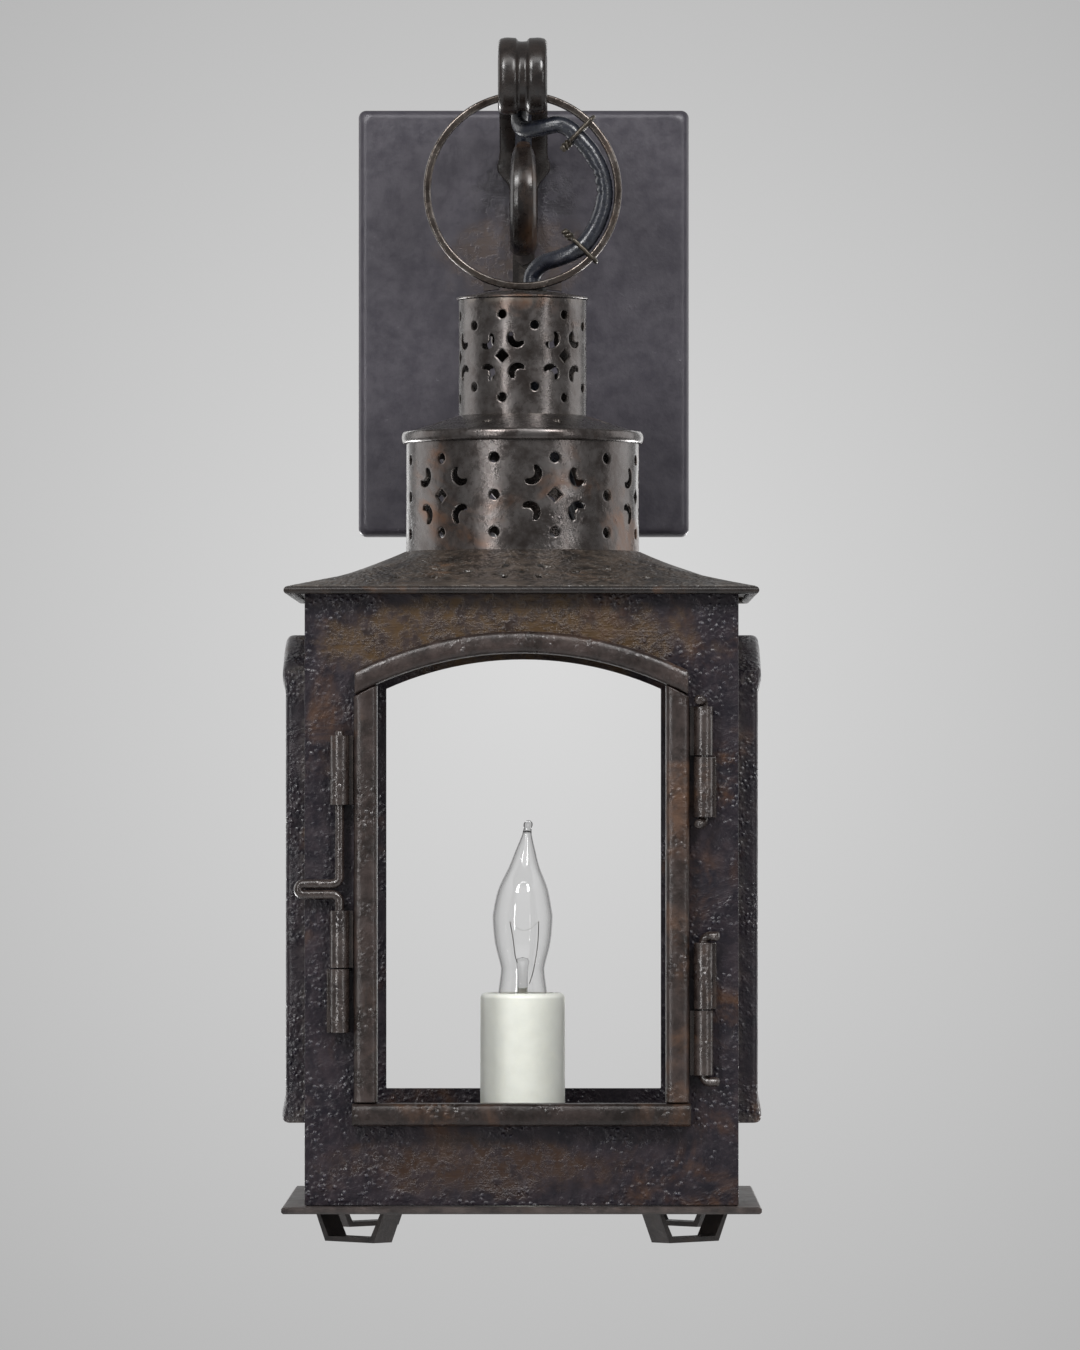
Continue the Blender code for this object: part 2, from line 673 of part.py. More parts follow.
# The strap's outer line in the (Y, Z) plane, as (point, outward normal, width, groove share) stations:
# the curl that holds the ring, the arm back to the plate, its broad foot, and the scroll under it
def strap_stations():
    face = PLATE_FACE_Y - GAP
    stations = []
    curl_turns = 20
    for i in range(curl_turns):
        turn = CURL_END_ANGLE + (math.pi / 2 - CURL_END_ANGLE) * i / curl_turns
        normal = Vector((math.cos(turn), math.sin(turn)))
        spot = Vector((AXIS_Y, CURL_HEIGHT)) + CURL_RADIUS * normal
        stations.append((spot, normal, CURL_STRAP_WIDTH, 1))
    run = face - AXIS_Y
    rise = CURL_HEIGHT + CURL_RADIUS - ARM_FOOT_HEIGHT
    arm_steps = 14
    for i in range(arm_steps + 1):
        turn = math.pi / 2 * (1 - i / arm_steps)
        spot = Vector((AXIS_Y + run * math.cos(turn), ARM_FOOT_HEIGHT + rise * math.sin(turn)))
        normal = Vector((math.cos(turn) / run, math.sin(turn) / rise)).normalized()
        spread = (i / arm_steps) ** 3
        width = CURL_STRAP_WIDTH + spread * (FOOT_STRAP_WIDTH - CURL_STRAP_WIDTH)
        stations.append((spot, normal, width, 1 - spread))
    waist = SCROLL_STRAP_WIDTH + (FOOT_STRAP_WIDTH - SCROLL_STRAP_WIDTH) / 3
    for drop, width in ((FOOT_DROP, FOOT_STRAP_WIDTH), (2 * FOOT_DROP, waist)):
        stations.append((Vector((face, ARM_FOOT_HEIGHT - drop)), Vector((1, 0)), width, 0))
    scroll_steps = 20
    centre = Vector((face - SCROLL_RADIUS, SCROLL_HEIGHT))
    for i in range(scroll_steps + 1):
        share = i / scroll_steps
        normal = Vector((math.cos(SCROLL_END_ANGLE * share), math.sin(SCROLL_END_ANGLE * share)))
        width = SCROLL_STRAP_WIDTH + (SCROLL_TIP_WIDTH - SCROLL_STRAP_WIDTH) * share
        stations.append((centre + SCROLL_RADIUS * normal, normal, width, 0))
    last_spot, last_normal, last_width, _ = stations[-1]
    tip = last_spot + Vector((last_normal.y, -last_normal.x)) * SCROLL_TIP_WIDTH / 3
    stations.append((tip, last_normal, 0.55 * last_width, 0))
    return stations


# Across the strap: a flat inner side, and outside it two round ribs with a groove between them.
# Where the groove has run out, the outer side is a low crown.
def strap_section(width, groove_share):
    half = width / 2
    groove = min(STRAP_GROOVE_WIDTH, 0.3 * width) / 2
    floor = -STRAP_GROOVE_DEPTH * groove_share
    crown = SCROLL_CROWN * (1 - groove_share)
    right = [(groove, floor), (1.4 * groove, floor / 6), ((groove + half) / 2, -crown / 3)]
    right += [(half - STRAP_RIB_EDGE, -STRAP_RIB_EDGE / 2 - crown), (half, -2 * STRAP_RIB_EDGE)]
    right += [(half, STRAP_BACK_EDGE - STRAP_THICKNESS), (half - STRAP_BACK_EDGE, -STRAP_THICKNESS)]
    return right + [(-x, depth) for x, depth in right[::-1]]


def make_bracket():
    rings = []
    for spot, normal, width, groove in strap_stations():
        flat = [(x, spot + depth * normal) for x, depth in strap_section(width, groove)]
        rings.append([(x, p.x, p.y) for x, p in flat])
    arm = add_mesh("bracket_arm", loft(rings), "iron")
    near, far = PLATE_FACE_Y, PLATE_FACE_Y - 2 * STRAP_THICKNESS
    cut(arm, drill(CORD_RADIUS + 3 * GAP, (0, near, CORD_HOLE_HEIGHT), (0, far, CORD_HOLE_HEIGHT)))
    arm_rivet, upper_rivet, lower_rivet = rivet_heights()
    cut(arm, drill(RIVET_RADIUS + GAP, (0, near, arm_rivet), (0, far, arm_rivet)))
    add_rivet("arm_rivet", arm_rivet, STRAP_THICKNESS)
    half = BACK_STRAP_WIDTH / 2
    end = BACK_STRAP_TOP - BACK_STRAP_LENGTH
    outline = [(half, BACK_STRAP_TOP), (half, end + half), (0.7 * half, end + 0.3 * half), (0, end)]
    outline += [(-x, z) for x, z in outline[2::-1]]
    seat = PLATE_FACE_Y - GAP
    strap = prism(outline, seat, seat - BACK_STRAP_THICKNESS, lambda x, z, y: (x, y, z))
    strap = add_mesh("back_strap", strap, "iron")
    for name, height in (("strap_rivet_upper", upper_rivet), ("strap_rivet_lower", lower_rivet)):
        ends = [(0, y, height) for y in (seat + GAP, seat - BACK_STRAP_THICKNESS - GAP)]
        cut(strap, drill(RIVET_RADIUS + GAP, *ends))
        add_rivet(name, height, BACK_STRAP_THICKNESS)


def add_rivet(name, height, thickness):
    grip = thickness + 2 * GAP + PLATE_SHEET + GAP
    outline = headed(RIVET_RADIUS, RIVET_HEAD_HEIGHT + grip, RIVET_HEAD_RADIUS, RIVET_HEAD_HEIGHT)
    tail = RIVET_HEAD_HEIGHT + grip
    outline[4:] = [(RIVET_RADIUS, tail), (0.85 * RIVET_HEAD_RADIUS, tail)]
    outline.append((0, tail + RIVET_HEAD_HEIGHT / 2))
    head = PLATE_FACE_Y - 2 * GAP - thickness - RIVET_HEAD_HEIGHT
    place = Matrix.Translation((0, head, height)) @ Matrix.Rotation(-math.pi / 2, 4, "X")
    add_mesh(name, turned(outline, 12), "iron", place=place)


def bushing(sheet_thickness):
    bore = CORD_RADIUS + GAP
    outer = bore + BUSHING_WALL
    flange = outer + BUSHING_LIP
    end = BUSHING_FLANGE + GAP + sheet_thickness + GAP
    outline = [(outer, BUSHING_FLANGE), (outer, end), (bore, end), (bore, 0)]
    return [*outline, (flange, 0), (flange, BUSHING_FLANGE)]


def offset_from(place, offsets):
    return [Vector(place) + Vector(offset) for offset in offsets]


# The three runs of the cord: in the arm, loose to the ring, and down through the lantern to its holder
def cord_points():
    arm = [Vector((0, PLATE_FACE_Y + y, CORD_HOLE_HEIGHT)) for y in CORD_PLATE_OFFSETS]
    reach = ARM_REACH - PLATE_DEPTH
    rise = CURL_HEIGHT + CURL_RADIUS - ARM_FOOT_HEIGHT
    for out, up in CORD_ARM_SHARES:
        arm.append(Vector((0, PLATE_FACE_Y - out * reach, ARM_FOOT_HEIGHT + up * rise)))
    hook = (0, AXIS_Y, HOOK_SEAT_Z)
    loop = offset_from(hook, CORD_LOOP_OFFSETS)
    slip = arm[-1] + GAP * (arm[-1] - arm[-2]).normalized() - loop[0]
    last = len(loop) - 1
    loop = [p + slip * min(1, (last - i) / (last - 1)) for i, p in enumerate(loop)]
    lantern = offset_from(hook, CORD_HOOK_OFFSETS)
    for turn, clearance in zip(CORD_RING_ANGLES, CORD_RING_CLEARANCES):
        radius = RING_INNER_RADIUS - CORD_RADIUS - clearance
        lantern.append(Vector((radius * math.cos(turn), AXIS_Y, RING_CENTRE_Z + radius * math.sin(turn))))
    half = BODY_WIDTH / 2
    lantern += offset_from((CAP_CORD_OFFSET[0], AXIS_Y + CAP_CORD_OFFSET[1], CAP_APEX_Z), CORD_CAP_OFFSETS)
    lantern += offset_from((0, AXIS_Y, LID_TOP_Z), CORD_LID_OFFSETS)
    lantern += offset_from((0, AXIS_Y, ROOF_TOP_Z), CORD_ROOF_OFFSETS)
    lantern += offset_from((half, AXIS_Y + half, WALL_TOP_Z), CORD_EAVE_OFFSETS)
    lantern += offset_from((half, AXIS_Y + half, FLOOR_Z), CORD_CORNER_OFFSETS)
    lantern += offset_from((0, AXIS_Y, FLOOR_Z), CORD_FLOOR_OFFSETS)
    lantern += offset_from((0, AXIS_Y, HOLDER_BOTTOM_Z), CORD_END_OFFSETS)
    return arm, loop, lantern


def make_cord():
    step = 5 * CORD_RADIUS
    arm, loop, lantern = cord_points()
    add_tube("cord_in_arm", route(arm, step), CORD_RADIUS, 3, "cord")
    add_tube("cord_loop", route(loop, step), CORD_RADIUS, 3, "cord", HOOK)
    add_tube("cord_in_lantern", route(lantern, step), CORD_RADIUS, 3, "cord", HOOK)
    inner = Matrix.Translation((0, PLATE_SHEET + GAP + BUSHING_FLANGE - PLATE_DEPTH, CORD_HOLE_HEIGHT))
    inner = inner @ Matrix.Rotation(math.pi / 2, 4, "X")
    add_mesh("plate_bushing", turned(bushing(PLATE_SHEET - 2 * GAP), 16), "rubber", place=inner)
    for name, angle in (("cord_tie_upper", UPPER_TIE_ANGLE), ("cord_tie_lower", LOWER_TIE_ANGLE)):
        add_tie(name, angle)
    wall = BODY_WIDTH / 2 - BODY_SHEET - GAP
    bore = CORD_RADIUS + GAP
    x, y, _ = offset_from((BODY_WIDTH / 2, AXIS_Y + BODY_WIDTH / 2, 0), CORD_EAVE_OFFSETS[-1:])[0]
    for name, rise in zip(("cord_clip_upper", "cord_clip_lower"), CLIP_RISES):
        height = FLOOR_Z + rise
        reach = wall - x
        outline = barrel_outline(bore + CLIP_WALL, reach, 0.7 * CORD_RADIUS, CLIP_WALL)
        outline = [(v, -u) for u, v in outline]
        add_extrusion(name, outline, bore, (x, y), height, height + CLIP_LENGTH, "steel", HOOK)


# One turn of wire round the ring's band and the cord, with its two ends twisted into a tail
def add_tie(name, angle):
    low = RING_INNER_RADIUS - 2 * CORD_RADIUS - 3 * GAP - TIE_WIRE_RADIUS
    high = RING_OUTER_RADIUS + GAP + TIE_WIRE_RADIUS
    side = CORD_RADIUS + 2 * GAP + TIE_WIRE_RADIUS
    tail = low - TIE_TAIL_LENGTH
    end = TIE_TAIL_SHARE * side
    corners = [(tail, end), (low, side), (high, side), (high, -side), (low, -side), (tail, -end)]
    radial = Vector((math.cos(angle), 0, math.sin(angle)))
    centre = Vector((0, AXIS_Y, RING_CENTRE_Z))
    points = [centre + r * radial + Vector((0, y, 0)) for r, y in corners]
    bends = [TIE_INNER_BEND, TIE_OUTER_BEND, TIE_OUTER_BEND, TIE_INNER_BEND]
    add_tube(name, bent(points, bends, 4), TIE_WIRE_RADIUS, 1, "steel", HOOK)


def make_ring():
    rings = []
    steps = 48
    band = rounded_rectangle(RING_BAND_THICKNESS, RING_BAND_WIDTH, RING_BAND_EDGE, 1)
    middle = RING_OUTER_RADIUS - RING_BAND_THICKNESS / 2
    for i in range(steps):
        turn = 2 * math.pi * i / steps
        along = Vector((math.cos(turn), 0, math.sin(turn)))
        centre = Vector((0, AXIS_Y, RING_CENTRE_Z))
        rings.append([centre + (middle + r) * along + Vector((0, y, 0)) for r, y in band])
    add_mesh("hanging_ring", loft(rings, closed=True), "iron", HOOK)
    for side, name in ((-1, "left"), (1, "right")):
        rings = []
        for x in (LUG_OFFSET - LUG_LENGTH / 2, LUG_OFFSET, LUG_OFFSET + LUG_LENGTH / 2):
            top = RING_CENTRE_Z - math.sqrt(RING_OUTER_RADIUS**2 - x**2) - GAP
            low = cap_height(math.hypot(x, LUG_WIDTH / 2)) + 3 * GAP
            low = min(low, top - GAP)
            half = LUG_WIDTH / 2
            corners = ((-half, low), (half, low), (half, top), (-half, top))
            rings.append([(side * x, AXIS_Y + y, z) for y, z in corners])
        add_mesh("ring_lug_" + name, loft(rings), "iron", HOOK)


def cap_height(radius):
    return CAP_RIM_Z + CAP_RISE * (1 - (radius / CAP_RADIUS) ** 2)


def make_cap():
    bushed = CORD_RADIUS + GAP + BUSHING_WALL + GAP
    hole = circle(CAP_CORD_OFFSET[0], CAP_CORD_OFFSET[1], bushed, 16)
    creases = [circle(0, 0, CAP_RADIUS * share, 24) for share in (0.33, 0.66)]
    creases = [ring + ring[:1] for ring in creases]

    def face(depth):
        return lambda x, y: (x, AXIS_Y + y, cap_height(math.hypot(x, y)) - depth)

    outline = circle(0, 0, CAP_RADIUS, 36)
    add_mesh("chimney_cap", sheet(outline, [hole], face(0), face(CAP_SHEET), creases), "iron", HOOK)
    x, y = CAP_CORD_OFFSET
    reach = math.hypot(x, y)
    spread = reach + bushed + BUSHING_LIP
    top = cap_height(0) + GAP + BUSHING_FLANGE
    thickness = top - BUSHING_FLANGE - cap_height(spread) + CAP_SHEET
    place = Matrix.Translation((x, AXIS_Y + y, top)) @ Matrix.Rotation(math.pi, 4, "X")
    add_mesh("cap_bushing", turned(bushing(thickness), 16), "rubber", HOOK, place)


def make_chimney():
    middle = (CHIMNEY_TOP_Z + LID_TOP_Z) / 2
    holes = []
    for i in range(MOTIFS):
        u = CHIMNEY_RADIUS * (CHIMNEY_MOTIF_ANGLE + 2 * math.pi * i / MOTIFS)
        half_step = CHIMNEY_RADIUS * math.pi / MOTIFS
        holes += motif(u, middle, CHIMNEY_STAR, CHIMNEY_CRESCENT_REACH, CHIMNEY_CRESCENT_RADIUS,
                       CHIMNEY_HOLE_RADIUS, CHIMNEY_HOLE_RISE)
        for level in (-1, 1):
            holes.append(circle(u + half_step, middle + level * CHIMNEY_PAIR_RISE, CHIMNEY_HOLE_RADIUS))
    tube = pierced_tube(CHIMNEY_RADIUS, CHIMNEY_BOTTOM_Z, CHIMNEY_TOP_Z, holes, 36, CHIMNEY_MOTIF_ANGLE)
    add_mesh("chimney", tube, "iron", HOOK)


def make_drum():
    middle = (LID_EDGE_Z - RIM_HEIGHT + ROOF_TOP_Z) / 2
    holes = []
    for i in range(MOTIFS):
        u = DRUM_RADIUS * (DRUM_MOTIF_ANGLE + 2 * math.pi * i / MOTIFS)
        half_step = DRUM_RADIUS * math.pi / MOTIFS
        holes += motif(u, middle, DRUM_STAR, DRUM_CRESCENT_REACH, DRUM_CRESCENT_RADIUS,
                       DRUM_HOLE_RADIUS, DRUM_HOLE_RISE)
        for level in (-1, 0, 1):
            holes.append(circle(u + half_step, middle + level * DRUM_HOLE_RISE, DRUM_HOLE_RADIUS))
    tube = pierced_tube(DRUM_RADIUS, DRUM_BOTTOM_Z, DRUM_TOP_Z, holes, 40, DRUM_MOTIF_ANGLE)
    add_mesh("drum", tube, "iron", HOOK)


def make_lid():
    inner = CHIMNEY_RADIUS + GAP
    slope = LID_RISE / (DRUM_RADIUS - inner)

    def face(depth):
        return lambda x, y: (x, AXIS_Y + y, LID_TOP_Z - slope * (math.hypot(x, y) - inner) - depth)

    holes = [circle(0, 0, inner, 36)]
    middle = (inner + DRUM_RADIUS) / 2
    for i in range(LID_HOLES):
        turn = 2 * math.pi * (i + 0.5) / LID_HOLES
        holes.append(circle(middle * math.cos(turn), middle * math.sin(turn), LID_HOLE_RADIUS))
    lid = sheet(circle(0, 0, DRUM_RADIUS, 40), holes, face(0), face(LID_SHEET))
    add_mesh("drum_lid", lid, "iron", HOOK)
    bore = DRUM_RADIUS + GAP
    top = LID_EDGE_Z + RIM_STAND
    round_edge = 0.3 * RIM_THICKNESS
    outline = [(bore, top - RIM_HEIGHT), (bore, top), (bore + RIM_THICKNESS - 2 * round_edge, top)]
    outline += [(bore + RIM_THICKNESS, top - 2 * round_edge), (bore + RIM_THICKNESS, top - RIM_HEIGHT)]
    add_mesh("drum_rim", turned(outline, 40, (0, AXIS_Y)), "iron", HOOK)


# The roof runs from a round opening to a square eave, a little steeper at the opening
def roof_height(x, y):
    reach = math.hypot(x, y)
    eave = ROOF_WIDTH / 2 * reach / max(abs(x), abs(y))
    share = (reach - ROOF_OPENING_RADIUS) / (eave - ROOF_OPENING_RADIUS)
    return ROOF_TOP_Z - ROOF_RISE * (share + ROOF_FLARE * share * (1 - share))


def make_roof():
    half = ROOF_WIDTH / 2
    middle = -(half + ROOF_OPENING_RADIUS) / 2
    slope_holes = motif(0, middle, ROOF_STAR, ROOF_CRESCENT_REACH, ROOF_CRESCENT_RADIUS, 0, 0)
    for side in (-1, 1):
        for share, level in ((0.62, 0), (1.0, -1), (1.0, 0.6), (1.45, -0.9)):
            x = side * share * ROOF_MOTIF_SPACING
            slope_holes.append(circle(x, middle + level * ROOF_CRESCENT_REACH[1], ROOF_HOLE_RADIUS))
    opening = circle(0, 0, ROOF_OPENING_RADIUS, 40)
    holes = [opening]
    for turns in range(4):
        turn = Matrix.Rotation(turns * math.pi / 2, 2)
        holes += [[tuple(turn @ Vector(p)) for p in hole] for hole in slope_holes]
    hem = half - ROOF_HEM_WIDTH
    creases = [[(hem, hem), (-hem, hem), (-hem, -hem), (hem, -hem), (hem, hem)]]
    for x, y in opening:
        if max(abs(x), abs(y)) < 0.95 * ROOF_OPENING_RADIUS:
            out = hem / max(abs(x), abs(y))
            stretches = [1 + (out - 1) * share for share in (0.02, 0.5, 1)]
            creases.append([(x * stretch, y * stretch) for stretch in stretches])

    def under(x, y):
        edge = max(abs(x), abs(y)) > half - 1e-6
        return (x, AXIS_Y + y, roof_height(x, y) - (ROOF_HEM_HEIGHT if edge else ROOF_SHEET))

    def over(x, y):
        return (x, AXIS_Y + y, roof_height(x, y))

    outline = [(half, half), (-half, half), (-half, -half), (half, -half)]
    add_mesh("roof", sheet(outline, holes, over, under, creases), "iron", HOOK)


# The window's outline grown by reach, with its arch from right to left
def window_outline(reach, steps=10):
    half = WINDOW_WIDTH / 2 + reach
    radius = ARCH_RADIUS + reach
    spread = math.asin(half / radius)
    points = [(-half, SILL_Z - reach), (half, SILL_Z - reach)]
    for i in range(steps + 1):
        turn = spread * (1 - 2 * i / steps)
        points.append((radius * math.sin(turn), ARCH_CENTRE_Z + radius * math.cos(turn)))
    return points


# Panels and side frames are built facing -Y and turned about the lantern's axis
def turned_to(side):
    middle = Matrix.Translation((0, AXIS_Y, 0))
    return middle @ Matrix.Rotation(side * math.pi / 2, 4, "Z") @ middle.inverted()


def make_panels():
    names = ("front_panel", "right_panel", "rear_panel", "left_panel")
    for side, name in enumerate(names):
        half = BODY_WIDTH / 2 - side % 2 * (BODY_SHEET + GAP)
        outline = [(-half, WALL_BOTTOM_Z), (half, WALL_BOTTOM_Z), (half, WALL_TOP_Z), (-half, WALL_TOP_Z)]

        def face(depth):
            return lambda x, z: (x, FRONT_Y + depth, z)

        panel = sheet(outline, [window_outline(0)], face(0), face(BODY_SHEET))
        add_mesh(name, panel, "iron", HOOK, turned_to(side))


def make_side_frames():
    for side, name in ((1, "right_frame"), (3, "left_frame")):
        rings = []
        for across, out in STRIP_SHARES:
            left, right, *arch = window_outline(across * ARCH_WIDTH)
            x, spring = arch[0]
            low, high = SILL_Z + STILE_STEP, spring - STILE_STEP
            loop = [(*left, FRAME_DEPTH), (*right, FRAME_DEPTH)]
            loop += [(x, low, STILE_DEPTH), (x, high, STILE_DEPTH)]
            loop += [(*p, FRAME_DEPTH) for p in arch]
            loop += [(-x, high, STILE_DEPTH), (-x, low, STILE_DEPTH)]
            rings.append([(x, DOOR_BACK_Y - out * depth, z) for x, z, depth in loop])
        add_mesh(name, loft(rings, closed=True), "iron", HOOK, turned_to(side))


def arch_under(x):
    return ARCH_CENTRE_Z + math.sqrt(ARCH_RADIUS**2 - x**2)


def make_door():
    inner = WINDOW_WIDTH / 2
    outer = inner + STILE_WIDTH
    for side, name in ((-1, "left"), (1, "right")):
        low, high = [], []
        for across, out in STRIP_SHARES:
            x = inner + across * STILE_WIDTH
            y = DOOR_BACK_Y - out * STILE_DEPTH
            low.append((side * x, y, SILL_Z + GAP))
            high.append((side * x, y, arch_under(x) - GAP))
        add_mesh("door_stile_" + name, loft([low, high]), "iron", DOOR)
    rings = []
    for x in (-outer - SILL_END_OVERHANG, outer + SILL_END_OVERHANG):
        rings.append([(x, DOOR_BACK_Y - b * FRAME_DEPTH, SILL_Z - a * SILL_HEIGHT) for a, b in STRIP_SHARES])
    add_mesh("door_sill", loft(rings), "iron", DOOR)
    rings = []
    steps = 14
    end = outer - ARCH_END_OVERHANG
    for i in range(steps + 1):
        ring = []
        for across, out in STRIP_SHARES:
            radius = ARCH_RADIUS + across * ARCH_WIDTH
            turn = math.asin(end / radius) * (2 * i / steps - 1)
            z = ARCH_CENTRE_Z + radius * math.cos(turn)
            ring.append((radius * math.sin(turn), DOOR_BACK_Y - out * FRAME_DEPTH, z))
        rings.append(ring)
    add_mesh("door_arch", loft(rings), "iron", DOOR)


# A barrel about (0, 0) with a leaf that reaches along +X, its back at Y = rear
def barrel_outline(radius, reach, rear, thickness):
    top = math.asin((rear - thickness) / radius)
    start = math.asin(min(1, rear / radius))
    turns = [math.pi - start + (math.pi + top + start) * i / 14 for i in range(15)]
    points = [(radius * math.cos(t), radius * math.sin(t)) for t in turns]
    return [*points, (reach, rear - thickness), (reach, rear)]


def add_extrusion(name, outline, bore, centre, low, high, material, parent):
    x, y = centre

    def level(z):
        return lambda u, v: (x + u, y + v, z)

    hole = circle(0, 0, bore, 16)
    return add_mesh(name, sheet(outline, [hole], level(low), level(high)), material, parent)


def add_barrel(name, side, on_door, bore, low, high, parent):
    if on_door:
        reach = BARREL_OFFSET - GAP
        rear = 0.5 * BARREL_RADIUS
        facing = -side
    else:
        reach = BODY_LEAF_REACH
        rear = BARREL_RADIUS
        facing = side
    outline = barrel_outline(BARREL_RADIUS, reach, rear, LEAF_SHEET)
    outline = [(facing * u, v) for u, v in outline]
    add_extrusion(name, outline, bore + GAP, (side * HINGE_X, HINGE_Y), low, high, "iron", parent)


def make_hinges():
    upper = SPRING_Z - UPPER_HINGE_DROP
    lower = SILL_Z + LOWER_HINGE_RISE
    add_barrel("upper_door_knuckle", 1, True, PIN_RADIUS, upper + GAP, upper + UPPER_DOOR_KNUCKLE, DOOR)
    add_barrel("upper_body_knuckle", 1, False, PIN_RADIUS, upper - UPPER_BODY_KNUCKLE, upper - GAP, HOOK)
    add_barrel("lower_body_knuckle", 1, False, PIN_RADIUS, lower + GAP, lower + LOWER_BODY_KNUCKLE, HOOK)
    add_barrel("lower_door_knuckle", 1, True, PIN_RADIUS, lower - LOWER_DOOR_KNUCKLE, lower - GAP, DOOR)
    ends = (upper - UPPER_BODY_KNUCKLE, upper + UPPER_DOOR_KNUCKLE)
    add_pin("upper_hinge_pin", *ends, UPPER_PIN_ANGLE, DOOR)
    ends = (lower - LOWER_DOOR_KNUCKLE, lower + LOWER_BODY_KNUCKLE)
    add_pin("lower_hinge_pin", *ends, LOWER_PIN_ANGLE, HOOK)


# A wire pin whose two ends are bent over at one angle
def add_pin(name, low, high, angle, parent):
    axis = Vector((HINGE_X, HINGE_Y, 0))
    tail = PIN_TAIL * Vector((math.cos(angle), math.sin(angle), 0))
    stand = PIN_END_CLEARANCE + PIN_RADIUS
    top = Vector((0, 0, high + stand))
    bottom = Vector((0, 0, low - stand))
    corners = [axis + top + tail, axis + top, axis + bottom, axis + bottom + tail]
    add_tube(name, bent(corners, [PIN_BEND, PIN_BEND], 5), PIN_RADIUS, 2, "iron", parent)


# A bolt bent from one rod, with a hairpin handle, that drops from the door's guides into a keeper
def make_bolt():
    seam = SILL_Z + BOLT_SEAM_RISE
    guide_top = SPRING_Z - UPPER_GUIDE_DROP
    add_barrel("upper_bolt_guide", -1, True, BOLT_RADIUS, guide_top - UPPER_GUIDE, guide_top, DOOR)
    add_barrel("lower_bolt_guide", -1, True, BOLT_RADIUS, seam, seam + LOWER_GUIDE, DOOR)
    add_barrel("bolt_keeper", -1, False, BOLT_RADIUS, seam - KEEPER, seam - 2 * GAP, HOOK)
    handle = seam + BOLT_HANDLE_RISE
    reach = -HINGE_X - BOLT_HANDLE_REACH
    upper = handle + BOLT_HANDLE_PITCH
    tip = seam - 2 * GAP + BOLT_TIP_CLEARANCE
    corners = [(-HINGE_X, guide_top + BOLT_TOP_STAND), (-HINGE_X, upper), (reach, upper)]
    corners += [(reach, handle), (-HINGE_X, handle), (-HINGE_X, tip)]
    points = [(x, HINGE_Y, z) for x, z in corners]
    hairpin = 0.49 * BOLT_HANDLE_PITCH
    line = bent(points, [BOLT_BEND, hairpin, hairpin, BOLT_BEND])
    add_tube("bolt_rod", line, BOLT_RADIUS, 2, "iron", BOLT)


def make_base():
    half = BASE_WIDTH / 2
    levels = [(BASE_BOTTOM_Z, half - BASE_EDGE), (BASE_BOTTOM_Z + BASE_EDGE, half)]
    levels += [(FLOOR_Z - BASE_EDGE, half), (FLOOR_Z, half - BASE_EDGE)]
    rings = []
    for z, reach in levels:
        corners = ((reach, reach), (-reach, reach), (-reach, -reach), (reach, -reach))
        rings.append([(x, AXIS_Y + y, z) for x, y in corners])
    add_mesh("base_plate", loft(rings), "iron", HOOK)
    top = BASE_BOTTOM_Z - GAP
    low = top - FOOT_HEIGHT
    wide, narrow = FOOT_TOP_SPREAD / 2, FOOT_BOTTOM_SPREAD / 2
    thick = FOOT_STRAP_SHEET
    outline = [(wide, top), (narrow, low), (-narrow, low), (-wide, top)]
    outline += [(thick - wide, top), (thick - narrow, low + thick)]
    outline += [(narrow - thick, low + thick), (wide - thick, top)]
    half_strap = FOOT_STRAP_BREADTH / 2
    strap = prism(outline, -half_strap, half_strap, lambda u, z, w: (u, w, z))
    for end_y, end in ((-1, "front"), (1, "rear")):
        for side, name in ((-1, "left"), (1, "right")):
            spot = Matrix.Translation((side * FOOT_OFFSET, AXIS_Y + end_y * FOOT_OFFSET, 0))
            place = spot @ Matrix.Rotation(-side * end_y * math.pi / 4, 4, "Z")
            add_mesh("foot_" + end + "_" + name, strap, "iron", HOOK, place)


def make_candle():
    axis = (0, AXIS_Y)
    bore = SLEEVE_RADIUS - SLEEVE_WALL
    foot = FLOOR_Z + GAP
    shoulder = SLEEVE_TOP_Z - SLEEVE_EDGE
    outline = [(bore, foot), (bore, shoulder), (bore + SLEEVE_EDGE, SLEEVE_TOP_Z)]
    outline += [(SLEEVE_RADIUS - SLEEVE_EDGE, SLEEVE_TOP_Z), (SLEEVE_RADIUS, shoulder)]
    outline += [(SLEEVE_RADIUS, foot)]
    sleeve = add_mesh("candle_sleeve", turned(outline, 32, axis), "resin", HOOK)
    rise = SLEEVE_NOTCH_WIDTH / 2
    cord = Vector((1, 1, 0)).normalized()
    start = Vector((0, AXIS_Y, foot + rise - GAP)) + cord * (bore - SLEEVE_WALL / 2)
    cut(sleeve, drill(rise, start, start + cord * 2.5 * SLEEVE_WALL))
    tall = HOLDER_BOTTOM_Z - GAP
    stem = [(0, foot), (STEM_RADIUS, foot), (STEM_RADIUS, tall), (0, tall)]
    add_mesh("holder_stem", turned(stem, 14, axis), "steel", HOOK)
    socket = BULB_BASE_RADIUS + GAP
    floor = BULB_BASE_TOP_Z - BULB_BASE_HEIGHT - GAP
    outer = socket + HOLDER_WALL
    holder = [(0, HOLDER_BOTTOM_Z), (outer, HOLDER_BOTTOM_Z), (outer, HOLDER_TOP_Z), (socket, HOLDER_TOP_Z)]
    holder += [(socket, floor), (0, floor)]
    add_mesh("lamp_holder", turned(holder, 24, axis), "porcelain", HOOK)


